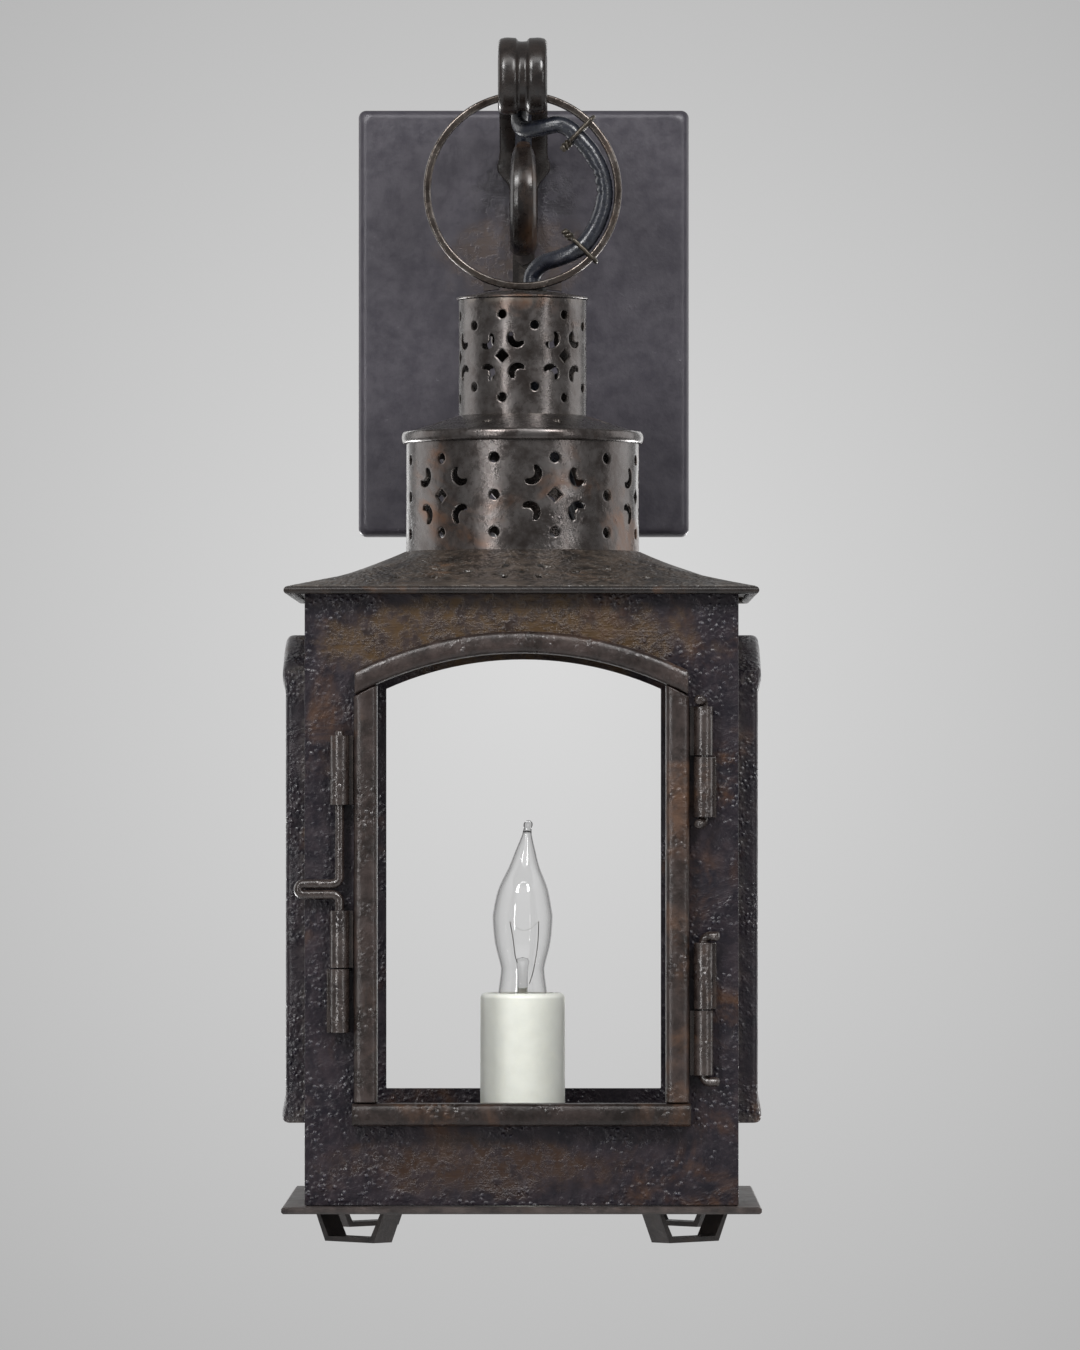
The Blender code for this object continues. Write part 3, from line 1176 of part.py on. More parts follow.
# The bulb's outer line, from its neck to its tip
def bulb_line(inset=0.0):
    start = SLEEVE_TOP_Z
    shares = [(BULB_NECK_RADIUS, 0.0), (BULB_WAIST_RADIUS, 0.12), (BULB_WAIST_RADIUS + 0.0003, 0.165)]
    shares += [(0.93 * BULB_RADIUS, 0.29), (BULB_RADIUS, 0.42), (0.975 * BULB_RADIUS, 0.48)]
    shares += [(0.82 * BULB_RADIUS, 0.605), (0.51 * BULB_RADIUS, 0.73), (0.34 * BULB_RADIUS, 0.82)]
    shares += [(BULB_TIP_RADIUS, 0.945), (0.75 * BULB_TIP_RADIUS, 0.985)]
    line = [(BULB_NECK_RADIUS - inset, BULB_NECK_Z)]
    line += [(radius - inset, start + share * BULB_LENGTH) for radius, share in shares]
    return [*line, (0, start + BULB_LENGTH - 2 * inset)]


# The flame tip leans a little to the right
def lean(mesh_data):
    points, faces = mesh_data
    start = SLEEVE_TOP_Z + 0.45 * BULB_LENGTH
    leaned = []
    for x, y, z in points:
        share = max(0.0, (z - start) / (0.55 * BULB_LENGTH))
        leaned.append((x + BULB_TIP_LEAN * share * share, y, z))
    return leaned, faces


def make_bulb():
    axis = (0, AXIS_Y)
    glass = bulb_line() + bulb_line(BULB_GLASS)[::-1]
    add_mesh("bulb_glass", lean(turned(glass, 24, axis)), "glass", BULB)
    low = BULB_BASE_TOP_Z - BULB_BASE_HEIGHT
    seat = BULB_NECK_RADIUS + GAP
    floor = BULB_NECK_Z - GAP
    contact = 0.35 * BULB_BASE_RADIUS
    base = [(0, low), (contact, low), (BULB_BASE_RADIUS, low + contact), (BULB_BASE_RADIUS, BULB_BASE_TOP_Z)]
    base += [(seat, BULB_BASE_TOP_Z), (seat, floor), (0, floor)]
    add_mesh("bulb_base", turned(base, 24, axis), "brass", BULB)
    flare = BULB_NECK_RADIUS - BULB_GLASS - GAP
    press = SLEEVE_TOP_Z + BULB_PRESS_HEIGHT
    foot = BULB_NECK_Z
    lip = foot + BULB_STEM_RADIUS
    stem = [(0, foot), (flare, foot), (0.9 * flare, lip), (BULB_STEM_RADIUS, lip + 2 * BULB_STEM_RADIUS)]
    stem += [(0.8 * BULB_STEM_RADIUS, press - BULB_STEM_RADIUS), (BULB_STEM_RADIUS, press)]
    stem += [(0, press + 0.4 * BULB_STEM_RADIUS)]
    add_mesh("bulb_stem", turned(stem, 14, axis), "glass", BULB)
    corners = [(x, AXIS_Y, SLEEVE_TOP_Z + z) for x, z in FILAMENT_CORNERS]
    wire = bent(corners, [FILAMENT_BEND] * (len(corners) - 2))
    add_tube("filament", wire, FILAMENT_RADIUS, 1, "tungsten", BULB)


clear_scene()
MATERIALS = make_materials()
HOOK = add_pivot("hook_pivot", (0, AXIS_Y, HOOK_SEAT_Z))
DOOR = add_pivot("door_pivot", (HINGE_X, HINGE_Y, SILL_Z))
BOLT = add_pivot("bolt_pivot", (-HINGE_X, HINGE_Y, SILL_Z))
BULB = add_pivot("bulb_pivot", (0, AXIS_Y, BULB_BASE_TOP_Z))
make_wall_plate()
make_mounting_bar()
make_bracket()
make_cord()
make_ring()
make_cap()
make_chimney()
make_lid()
make_drum()
make_roof()
make_panels()
make_side_frames()
make_door()
make_hinges()
make_bolt()
make_base()
make_candle()
make_bulb()
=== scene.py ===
import json
import math

import bmesh
import bpy
from mathutils import Matrix, Vector, noise
from mathutils.geometry import delaunay_2d_cdt

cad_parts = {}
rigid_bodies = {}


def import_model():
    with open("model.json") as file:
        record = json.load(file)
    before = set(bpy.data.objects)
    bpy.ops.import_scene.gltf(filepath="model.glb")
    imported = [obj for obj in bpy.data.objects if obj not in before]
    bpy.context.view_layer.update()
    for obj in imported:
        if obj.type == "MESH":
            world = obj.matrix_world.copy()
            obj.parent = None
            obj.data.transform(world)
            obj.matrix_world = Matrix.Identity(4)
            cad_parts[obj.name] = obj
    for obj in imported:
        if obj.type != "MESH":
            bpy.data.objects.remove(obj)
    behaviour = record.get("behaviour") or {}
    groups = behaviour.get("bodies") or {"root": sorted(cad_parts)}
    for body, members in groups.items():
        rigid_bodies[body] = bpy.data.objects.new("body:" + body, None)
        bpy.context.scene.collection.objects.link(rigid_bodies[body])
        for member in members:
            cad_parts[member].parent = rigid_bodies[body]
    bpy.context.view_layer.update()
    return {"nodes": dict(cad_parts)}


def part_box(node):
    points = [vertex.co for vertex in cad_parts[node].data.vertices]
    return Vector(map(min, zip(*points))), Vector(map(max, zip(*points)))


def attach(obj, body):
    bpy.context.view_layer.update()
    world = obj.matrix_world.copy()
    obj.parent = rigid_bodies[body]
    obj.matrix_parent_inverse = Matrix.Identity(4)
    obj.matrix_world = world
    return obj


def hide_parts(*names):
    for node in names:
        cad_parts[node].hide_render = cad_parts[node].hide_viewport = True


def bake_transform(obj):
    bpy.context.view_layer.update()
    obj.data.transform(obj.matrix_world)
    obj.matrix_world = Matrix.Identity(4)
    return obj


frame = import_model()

nodes = frame["nodes"]
axisY = -0.120  # the lantern hangs on this line
gap = 0.0003  # room between pieces that touch
near = 1e-6  # closer than this counts as the same place
noise.seed_set(4)  # the same scatter of crescents every time
print("frame loaded:", len(nodes), "solids")


# lowest and highest level of a solid
def levels(node):
    low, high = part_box(node)
    return low.z, high.z


# points on an arc from one angle to another, both ends included
def arc(u, v, radius, start, end, steps):
    turns = [start + (end - start) * i / steps for i in range(steps + 1)]
    return [(u + radius * math.cos(turn), v + radius * math.sin(turn)) for turn in turns]


def circle(u, v, radius, sides=20):
    return arc(u, v, radius, 0, 2 * math.pi, sides)[:-1]


def newObject(name, data):
    made = bpy.data.objects.new(name, data)
    bpy.context.scene.collection.objects.link(made)
    return made


def newGroup(name, inputs, outputs):
    group = bpy.data.node_groups.new(name, "ShaderNodeTree")
    for label, value in inputs:
        kind = "NodeSocketColor" if isinstance(value, tuple) else "NodeSocketFloat"
        socket = group.interface.new_socket(label, in_out="INPUT", socket_type=kind)
        socket.default_value = (*value, 1) if isinstance(value, tuple) else value
    for label, kind in outputs:
        group.interface.new_socket(label, in_out="OUTPUT", socket_type="NodeSocket" + kind)
    return group, group.nodes.new("NodeGroupInput").outputs, group.nodes.new("NodeGroupOutput").inputs


def newMaterial(name):
    material = bpy.data.materials.new(name)
    material.use_nodes = True
    return material, material.node_tree, material.node_tree.nodes["Principled BSDF"]


def setOrLink(tree, socket, value):
    if hasattr(value, "links"):
        tree.links.new(value, socket)
    elif isinstance(value, tuple):
        socket.default_value = (*value, 1) if socket.type == "RGBA" else value
    else:
        socket.default_value = value


def addCoords(tree, kind="Object"):
    return tree.nodes.new("ShaderNodeTexCoord").outputs[kind]


def addNoise(tree, coords, scale, detail=3.0, rough=0.55, distort=0.0):
    node = tree.nodes.new("ShaderNodeTexNoise")
    for label, value in dict(Scale=scale, Detail=detail, Roughness=rough, Distortion=distort).items():
        node.inputs[label].default_value = value
    tree.links.new(coords, node.inputs["Vector"])
    return node.outputs["Fac"]


def addCells(tree, coords, scale):
    node = tree.nodes.new("ShaderNodeTexVoronoi")
    node.inputs["Scale"].default_value = scale
    tree.links.new(coords, node.inputs["Vector"])
    return node.outputs


def addMath(tree, operation, a, b, clamp=False):
    node = tree.nodes.new("ShaderNodeMath")
    node.operation = operation
    node.use_clamp = clamp
    setOrLink(tree, node.inputs[0], a)
    setOrLink(tree, node.inputs[1], b)
    return node.outputs[0]


def addProduct(tree, *values):
    result = values[0]
    for value in values[1:]:
        result = addMath(tree, "MULTIPLY", result, value)
    return result


def addSum(tree, *values):
    result = values[0]
    for value in values[1:]:
        result = addMath(tree, "ADD", result, value)
    return result


# the distance of a point from another, or from the origin
def addDistance(tree, coords, start=(0, 0, 0)):
    node = tree.nodes.new("ShaderNodeVectorMath")
    node.operation = "DISTANCE"
    node.inputs[1].default_value = start
    tree.links.new(coords, node.inputs[0])
    return node.outputs["Value"]


def addRange(tree, value, low, high, toLow=0.0, toHigh=1.0, easing="SMOOTHSTEP"):
    node = tree.nodes.new("ShaderNodeMapRange")
    node.interpolation_type = easing
    node.inputs["To Min"].default_value = toLow
    node.inputs["To Max"].default_value = toHigh
    setOrLink(tree, node.inputs["From Min"], low)
    setOrLink(tree, node.inputs["From Max"], high)
    tree.links.new(value, node.inputs["Value"])
    return node.outputs["Result"]


def addMix(tree, factor, a, b):
    node = tree.nodes.new("ShaderNodeMix")
    node.data_type = "RGBA"
    setOrLink(tree, node.inputs["Factor"], factor)
    for label, value in (("A", a), ("B", b)):
        setOrLink(tree, next(s for s in node.inputs if s.name == label and s.type == "RGBA"), value)
    return next(s for s in node.outputs if s.type == "RGBA")


def addRelief(tree, shader, height, distance):
    relief = tree.nodes.new("ShaderNodeBump")
    relief.inputs["Distance"].default_value = distance
    tree.links.new(height, relief.inputs["Height"])
    tree.links.new(relief.outputs["Normal"], shader.inputs["Normal"])


def placeGroup(tree, group, **values):
    node = tree.nodes.new("ShaderNodeGroup")
    node.node_tree = group
    for label, value in values.items():
        setOrLink(tree, node.inputs[label], value)
    return node.outputs


# where a noise is above an edge that an amount from 0 to 1 moves down
def addPatches(tree, value, amount, none, full, soft):
    edge = addRange(tree, amount, 0, 1, none, full)
    return addRange(tree, value, edge, addMath(tree, "ADD", edge, soft))


shot = dict(lens=236.5, place=(0.019, -4.098, -0.2125), shiftX=-0.0185, shiftY=0.0815)


def setCamera():
    data = bpy.data.cameras.new("photoCamera")
    data.lens = shot["lens"]
    data.shift_x = shot["shiftX"]
    data.shift_y = shot["shiftY"]
    camera = newObject("photoCamera", data)
    camera.location = shot["place"]
    camera.rotation_euler = (math.pi / 2, 0, 0)
    bpy.context.scene.camera = camera


# the backdrop is brightest behind the lantern and falls off evenly around it, and the room is darker
backdrop = dict(middle=(-0.0028, 1.0, 0.0163), bright=0.70, dim=0.465, reach=0.1, room=0.72, roomReach=0.9,
                fill=0.22, fillTint=(0.95, 0.97, 1.0))


def setWorld():
    s = backdrop
    world = bpy.data.worlds.new("greyBackdrop")
    bpy.context.scene.world = world
    world.use_nodes = True
    tree = world.node_tree
    tree.nodes.clear()
    add, link = tree.nodes.new, tree.links.new
    seen, fill, mix = add("ShaderNodeBackground"), add("ShaderNodeBackground"), add("ShaderNodeMixShader")
    away = addDistance(tree, addCoords(tree, "Generated"), Vector(s["middle"]).normalized())
    link(addRange(tree, away, 0, s["reach"], s["bright"], s["dim"], "LINEAR"), seen.inputs["Color"])
    link(addRange(tree, away, s["reach"], s["roomReach"], 1, s["room"], "LINEAR"), seen.inputs["Strength"])
    fill.inputs["Color"].default_value = (*s["fillTint"], 1)
    fill.inputs["Strength"].default_value = s["fill"]
    path = add("ShaderNodeLightPath").outputs
    direct = addMath(tree, "ADD", path["Is Camera Ray"], path["Is Glossy Ray"])
    shown = addMath(tree, "ADD", direct, path["Is Transmission Ray"], True)
    for output, socket in zip((shown, fill.outputs[0], seen.outputs[0]), mix.inputs):
        link(output, socket)
    link(mix.outputs[0], add("ShaderNodeOutputWorld").inputs["Surface"])


# two boxes high in front with a weak one over them, two narrow strips lower down,
# and boxes at the sides, behind and below for the views from there
softboxes = dict(
    left=dict(place=(-1.08, -2.05, 1.40), size=(0.6, 0.8), power=44),
    right=dict(place=(1.08, -2.05, 1.40), size=(0.6, 0.8), power=42),
    top=dict(place=(0.0, -1.7, 1.75), size=(1.2, 0.6), power=10),
    leftStrip=dict(place=(-1.30, -2.25, -0.05), size=(0.16, 1.3), power=13),
    rightStrip=dict(place=(1.75, -1.95, -0.05), size=(0.14, 1.3), power=7),
    leftSide=dict(place=(-2.05, 0.75, 0.30), size=(1.5, 1.6), power=13),
    rightSide=dict(place=(2.05, 0.75, 0.30), size=(1.5, 1.6), power=13),
    leftRear=dict(place=(-0.90, 2.20, 0.25), size=(0.5, 1.6), power=4),
    rightRear=dict(place=(0.90, 2.20, 0.25), size=(0.5, 1.6), power=4),
    leftUnder=dict(place=(-1.05, 1.35, -0.85), size=(0.7, 0.5), power=18),
    rightUnder=dict(place=(1.05, 1.35, -0.85), size=(0.7, 0.5), power=18),
)
lightAim = Vector((0, -0.13, -0.15))  # the middle of the lantern


def setLights():
    for name, box in softboxes.items():
        data = bpy.data.lights.new(name + "Softbox", "AREA")
        data.shape = "RECTANGLE"
        data.size, data.size_y = box["size"]
        data.energy = box["power"]
        lamp = newObject(name + "Softbox", data)
        lamp.location = box["place"]
        lamp.rotation_mode = "QUATERNION"
        lamp.rotation_quaternion = (lightAim - lamp.location).to_track_quat("-Z", "Y")


# a round pale floor far below, which thins out towards its edge and isn't seen from underneath
floorSet = dict(height=-1.15, radius=3.0, clear=0.9, sides=96, colour=(0.62, 0.62, 0.62), rough=0.8)


def setFloor():
    s = floorSet
    mesh = bpy.data.meshes.new("studioFloor")
    rim = [(x, y, 0) for x, y in circle(0, 0, s["radius"], s["sides"])]
    mesh.from_pydata(rim, [], [tuple(range(s["sides"]))])
    floor = newObject("studioFloor", mesh)
    floor.location = (0, axisY, s["height"])
    material, tree, shader = newMaterial("paleFloor")
    shader.inputs["Base Color"].default_value = (*s["colour"], 1)
    shader.inputs["Roughness"].default_value = s["rough"]
    fade = addRange(tree, addDistance(tree, addCoords(tree)), s["clear"], s["radius"], 1.0, 0.0)
    back = tree.nodes.new("ShaderNodeNewGeometry").outputs["Backfacing"]
    tree.links.new(addMath(tree, "SUBTRACT", fade, back, True), shader.inputs["Alpha"])
    mesh.materials.append(material)


setCamera()
setWorld()
setLights()
setFloor()
bpy.context.scene.view_settings.view_transform = "Standard"
print("camera, light and floor set")


# each noise of the iron as scale, detail, roughness and distortion
ironNoises = dict(patch=(17, 4, 0.62, 0.8), streak=(46, 6, 0.68, 1.0), tone=(130, 6, 0.72),
                  crust=(30, 6, 0.66, 0.3), wave=(75, 1), lump=(250, 1.5, 0.5), grain=(600, 1.5, 0.5),
                  fine=(1800, 1))
# patches have an edge at none and at full and a softness, ranges a start, an end and the values there
ironSet = dict(
    specks=170, beads=470, crustPatch=(0.70, 0.30, 0.28), rustPatch=(0.76, 0.38, 0.15),
    speckPatch=(0.75, 0.35, 0.1), beadRange=(0.06, 0.60, 1.0, 0.0), beadSize=(0.2, 0.8, 0.30, 1.0),
    scaleRange=(0.35, 0.9), pitRange=(0.36, 0.56, 0.8, 0.0), streakRange=(0.36, 0.60),
    speckRange=(0.10, 0.30, 1.0, 0.0), shadeRange=(0.36, 0.64), toneMatt=(0.25, 0.75, -0.08, 0.08),
    rustTint=0.9, scaleAndPaintedGlint=0.3, rustMatt=0.10, crustShine=0.09,
    rises=dict(lump=0.60, bead=0.42, wave=0.35, grain=0.07, speck=0.14, fine=0.012),
)


# dark and light iron, rust stains, crusts of glinting scale and scattered specks
def makeAgedIron():
    s = ironSet
    group, given, out = newGroup(
        "agedIron",
        [("Dark", (0.02, 0.02, 0.02)), ("Light", (0.05, 0.05, 0.05)), ("Rust", (0.08, 0.05, 0.03)),
         ("Scale", (0.1, 0.1, 0.1)), ("Rusting", 0.4), ("Crusting", 0.4), ("Specks", 0.2), ("Matt", 0.4)],
        [("Color", "Color"), ("Roughness", "Float"), ("Height", "Float")],
    )
    coords = addCoords(group)
    n = {name: addNoise(group, coords, *values) for name, values in ironNoises.items()}
    specks, beads = addCells(group, coords, s["specks"]), addCells(group, coords, s["beads"])

    crust = addPatches(group, n["crust"], given["Crusting"], *s["crustPatch"])
    bead = addRange(group, beads["Distance"], *s["beadRange"])
    bead = addProduct(group, bead, addRange(group, beads["Color"], *s["beadSize"]))
    scale = addProduct(group, crust, addRange(group, bead, *s["scaleRange"]))
    pit = addProduct(group, crust, addRange(group, n["lump"], *s["pitRange"]))
    rust = addPatches(group, n["patch"], given["Rusting"], *s["rustPatch"])
    rust = addProduct(group, rust, addRange(group, n["streak"], *s["streakRange"]))
    speck = addRange(group, specks["Distance"], *s["speckRange"])
    speck = addProduct(group, speck, addPatches(group, n["tone"], given["Specks"], *s["speckPatch"]))

    shade = addProduct(group, addSum(group, n["tone"], n["streak"]), 0.5)
    colour = addMix(group, addRange(group, shade, *s["shadeRange"]), given["Dark"], given["Light"])
    colour = addMix(group, addProduct(group, rust, s["rustTint"]), colour, given["Rust"])
    colour = addMix(group, pit, colour, given["Dark"])
    # grain tops and specks take the paler scale colour: partly the crust's own colour, partly a painted
    # glint and sheen
    scaleAndPaintedGlint = addProduct(group, addMath(group, "MAXIMUM", scale, speck), s["scaleAndPaintedGlint"])
    colour = addMix(group, scaleAndPaintedGlint, colour, given["Scale"])

    rough = addSum(group, given["Matt"], addRange(group, n["tone"], *s["toneMatt"]),
                   addProduct(group, rust, s["rustMatt"]))
    rough = addMath(group, "SUBTRACT", rough, addProduct(group, crust, s["crustShine"]), True)

    layers = dict(n, bead=bead, speck=speck)
    rises = {name: addProduct(group, layers[name], share) for name, share in s["rises"].items()}
    rises["crust"] = addProduct(group, crust, addSum(group, rises.pop("lump"), rises.pop("bead")))
    height = addSum(group, *rises.values())
    group.links.new(colour, out["Color"])
    group.links.new(rough, out["Roughness"])
    group.links.new(height, out["Height"])
    return group


wearSet = dict(noise=(140, 5, 0.68), broken=(0.40, 0.62), soft=0.08)


# outer edges rubbed bare, broken up by a noise
def makeWornEdge():
    s = wearSet
    group, given, out = newGroup("wornEdge", [("Wear", 0.5), ("Edge", 0.56)], [("Mask", "Float")])
    edge = group.nodes.new("ShaderNodeNewGeometry").outputs["Pointiness"]
    broken = addRange(group, addNoise(group, addCoords(group), *s["noise"]), *s["broken"])
    bare = addRange(group, edge, given["Edge"], addMath(group, "ADD", given["Edge"], s["soft"]))
    group.links.new(addProduct(group, bare, broken, given["Wear"]), out["Mask"])
    return group


rubAndShadeSet = dict(raggedNoise=(55, 5, 0.65), ragged=(0.2, 0.8, -0.6, 0.6), slant=math.radians(24),
              stretch=(160, 900, 1300), brushNoise=(1.0, 2), brush=(0.3, 0.7, 0.8, 1.0),
              mottleNoise=(150, 5, 0.7), mottle=(0.36, 0.62, 0.25, 1.0), fade=(0.35, 1.25, 1.0, 0.0))


# a mottled patch with a soft outline, for a stretch of sheet brushed down to its brown and also for painted
# shade
def makeRubAndShadePatch():
    s = rubAndShadeSet
    sizes = [("Middle X", 0.0), ("Middle Z", 0.0), ("Reach X", 0.05), ("Reach Z", 0.02)]
    group, given, out = newGroup("rubAndShadePatch", sizes, [("Mask", "Float")])
    coords = addCoords(group)
    parts = group.nodes.new("ShaderNodeSeparateXYZ")
    group.links.new(coords, parts.inputs[0])
    squares = []
    for way in ("X", "Z"):
        off = addMath(group, "SUBTRACT", parts.outputs[way], given["Middle " + way])
        share = addMath(group, "DIVIDE", off, given["Reach " + way])
        squares.append(addProduct(group, share, share))
    ragged = addRange(group, addNoise(group, coords, *s["raggedNoise"]), *s["ragged"])
    away = addSum(group, *squares, ragged)
    stretch = group.nodes.new("ShaderNodeMapping")
    stretch.inputs["Rotation"].default_value = (0, s["slant"], 0)
    stretch.inputs["Scale"].default_value = s["stretch"]
    group.links.new(coords, stretch.inputs["Vector"])
    brush = addRange(group, addNoise(group, stretch.outputs["Vector"], *s["brushNoise"]), *s["brush"])
    mottle = addRange(group, addNoise(group, coords, *s["mottleNoise"]), *s["mottle"])
    mask = addProduct(group, addRange(group, away, *s["fade"]), brush, mottle)
    group.links.new(mask, out["Mask"])
    return group


agedIron = makeAgedIron()
wornEdge = makeWornEdge()
rubAndShadePatch = makeRubAndShadePatch()

# what most of the iron has in common
ironBase = dict(metallic=0.10, wear=0.8, edge=0.56, bump=0.0010, rubsAndShade=(), bare=(0.150, 0.132, 0.116))
ironFinishes = dict(
    panel=dict(
        dark=(0.0058, 0.0044, 0.0080), light=(0.0205, 0.0138, 0.0178),
        rust=(0.050, 0.021, 0.0078), scale=(0.056, 0.053, 0.080),
        rusting=0.56, crusting=0.74, specks=0.2, matt=0.40, gloss=0.38, wear=0.6, edge=0.55, bump=0.0013,
        # a brown patch rubbed above the arch, and a brown stain below the sill darkened further as painted
        # shade under the sill
        rubsAndShade=[dict(colour=(0.058, 0.032, 0.0110), middle=(-0.008, -0.147), reach=(0.088, 0.020)),
              dict(colour=(0.027, 0.0122, 0.0057), middle=(-0.020, -0.379), reach=(0.066, 0.014))],
    ),
    strip=dict(
        dark=(0.0100, 0.0065, 0.0053), light=(0.036, 0.0240, 0.0210),
        rust=(0.070, 0.033, 0.0155), scale=(0.090, 0.084, 0.092),
        rusting=0.60, crusting=0.62, specks=0.25, matt=0.36, gloss=0.50, edge=0.55, bump=0.0011,
    ),
    # the sill: a darker copy of the strip finish, painted shade against the light that falls on its top
    sill=dict(
        dark=(0.0075, 0.0050, 0.0041), light=(0.027, 0.0182, 0.0160),
        rust=(0.053, 0.025, 0.0118), scale=(0.070, 0.066, 0.072),
        rusting=0.60, crusting=0.62, specks=0.25, matt=0.36, gloss=0.40, edge=0.55, bump=0.0011,
    ),
    pierced=dict(
        dark=(0.045, 0.037, 0.034), light=(0.102, 0.094, 0.091),
        rust=(0.120, 0.058, 0.030), scale=(0.225, 0.222, 0.255), metallic=0.85,
        rusting=0.60, crusting=0.46, specks=0.15, matt=0.27, gloss=0.6, wear=0.9, edge=0.52, bump=0.0008,
    ),
    roof=dict(
        dark=(0.0070, 0.0052, 0.0041), light=(0.058, 0.043, 0.032),
        rust=(0.084, 0.042, 0.019), scale=(0.135, 0.118, 0.100),
        rusting=0.48, crusting=0.92, specks=0.7, matt=0.44, gloss=0.66, wear=0.6, edge=0.53, bump=0.0014,
    ),
    forged=dict(
        dark=(0.0055, 0.0042, 0.0040), light=(0.017, 0.0122, 0.0102),
        rust=(0.060, 0.029, 0.013), scale=(0.050, 0.048, 0.052),
        rusting=0.62, crusting=0.26, specks=0.2, matt=0.27, gloss=0.52, wear=0.35, bump=0.0006,
    ),
    ring=dict(
        dark=(0.030, 0.022, 0.018), light=(0.100, 0.083, 0.072),
        rust=(0.070, 0.036, 0.020), scale=(0.300, 0.290, 0.290), metallic=0.85, bare=(0.52, 0.50, 0.48),
        rusting=0.45, crusting=0.45, specks=0.25, matt=0.24, gloss=0.68, wear=1.0, edge=0.515, bump=0.0006,
    ),
    plate=dict(
        dark=(0.033, 0.030, 0.0385), light=(0.049, 0.0445, 0.054),
        rust=(0.058, 0.042, 0.038), scale=(0.170, 0.168, 0.190),
        rusting=0.28, crusting=0.30, specks=0.42, matt=0.40, gloss=0.44, wear=0.7, edge=0.53, bump=0.0009,
        # a brown rust stain below the scroll, and a dark patch round the arm's foot that is a painted
        # shadow of the arm
        rubsAndShade=[dict(colour=(0.060, 0.043, 0.036), middle=(-0.004, 0.030), reach=(0.034, 0.022)),
              dict(colour=(0.016, 0.014, 0.018), middle=(0.000, 0.061), reach=(0.027, 0.017))],
    ),
    fittings=dict(
        dark=(0.014, 0.0094, 0.0082), light=(0.044, 0.032, 0.028),
        rust=(0.074, 0.036, 0.017), scale=(0.125, 0.117, 0.130), metallic=0.20,
        rusting=0.45, crusting=0.62, specks=0.25, matt=0.28, gloss=0.82, wear=0.9, edge=0.57,
    ),
    base=dict(
        dark=(0.0185, 0.0148, 0.0142), light=(0.061, 0.0475, 0.0430),
        rust=(0.058, 0.034, 0.021), scale=(0.100, 0.096, 0.100),
        rusting=0.45, crusting=0.55, specks=0.4, matt=0.40, gloss=0.45, wear=0.0,
    ),
    feet=dict(
        dark=(0.0085, 0.0066, 0.0066), light=(0.031, 0.0230, 0.0205),
        rust=(0.036, 0.020, 0.012), scale=(0.050, 0.048, 0.052),
        rusting=0.45, crusting=0.45, specks=0.4, matt=0.40, gloss=0.42, wear=0.0, bump=0.0007,
    ),
)
rubAndShadeRelief = 0.25  # the share of the relief that is left under the rubbed patches and under the painted shade


def makeIron(name, own):
    s = {**ironBase, **own}
    material, tree, shader = newMaterial(name)
    shader.inputs["Metallic"].default_value = s["metallic"]
    shader.inputs["Specular IOR Level"].default_value = s["gloss"]
    given = ("Dark", "Light", "Rust", "Scale", "Rusting", "Crusting", "Specks", "Matt")
    look = placeGroup(tree, agedIron, **{label: s[label.lower()] for label in given})
    colour, height = look["Color"], look["Height"]
    # rubbed patches and painted shade alike: a colour laid over a soft patch, with the relief flattened
    # there
    for rubAndShade in s["rubsAndShade"]:
        sizes = dict(zip(("Middle X", "Middle Z", "Reach X", "Reach Z"), (*rubAndShade["middle"], *rubAndShade["reach"])))
        mask = placeGroup(tree, rubAndShadePatch, **sizes)["Mask"]
        colour = addMix(tree, mask, colour, rubAndShade["colour"])
        height = addProduct(tree, height, addRange(tree, mask, 0, 1, 1.0, rubAndShadeRelief))
    worn = placeGroup(tree, wornEdge, Wear=s["wear"], Edge=s["edge"])["Mask"]
    tree.links.new(addMix(tree, worn, colour, s["bare"]), shader.inputs["Base Color"])
    tree.links.new(look["Roughness"], shader.inputs["Roughness"])
    addRelief(tree, shader, height, s["bump"])
    return material


# how a noise darkens the colour and spreads the roughness of a plain finish
grainSet = dict(detail=3, tint=(0.3, 0.7), matt=(0.2, 0.8), least=0.9, most=1.1)


def makePlain(name, colour, rough, metallic, grain, grainScale, tint, **sockets):
    s = grainSet
    material, tree, shader = newMaterial(name)
    shader.inputs["Metallic"].default_value = metallic
    for label, value in sockets.items():
        shader.inputs[label].default_value = value
    fac = addNoise(tree, addCoords(tree), grainScale, s["detail"])
    darker = tuple(c * (1 - tint) for c in colour)
    spread = addRange(tree, fac, *s["matt"], rough * s["least"], rough * s["most"])
    tinted = addMix(tree, addRange(tree, fac, *s["tint"]), darker, colour)
    tree.links.new(tinted, shader.inputs["Base Color"])
    tree.links.new(spread, shader.inputs["Roughness"])
    addRelief(tree, shader, fac, grain)
    return material


def makeGlass(name, bending):
    material, _, shader = newMaterial(name)
    shader.inputs["Base Color"].default_value = (1, 1, 1, 1)
    shader.inputs["Roughness"].default_value = 0.0
    shader.inputs["Transmission Weight"].default_value = 1.0
    shader.inputs["IOR"].default_value = bending
    return material


finishes = {name: makeIron(name + "Iron", s) for name, s in ironFinishes.items()}
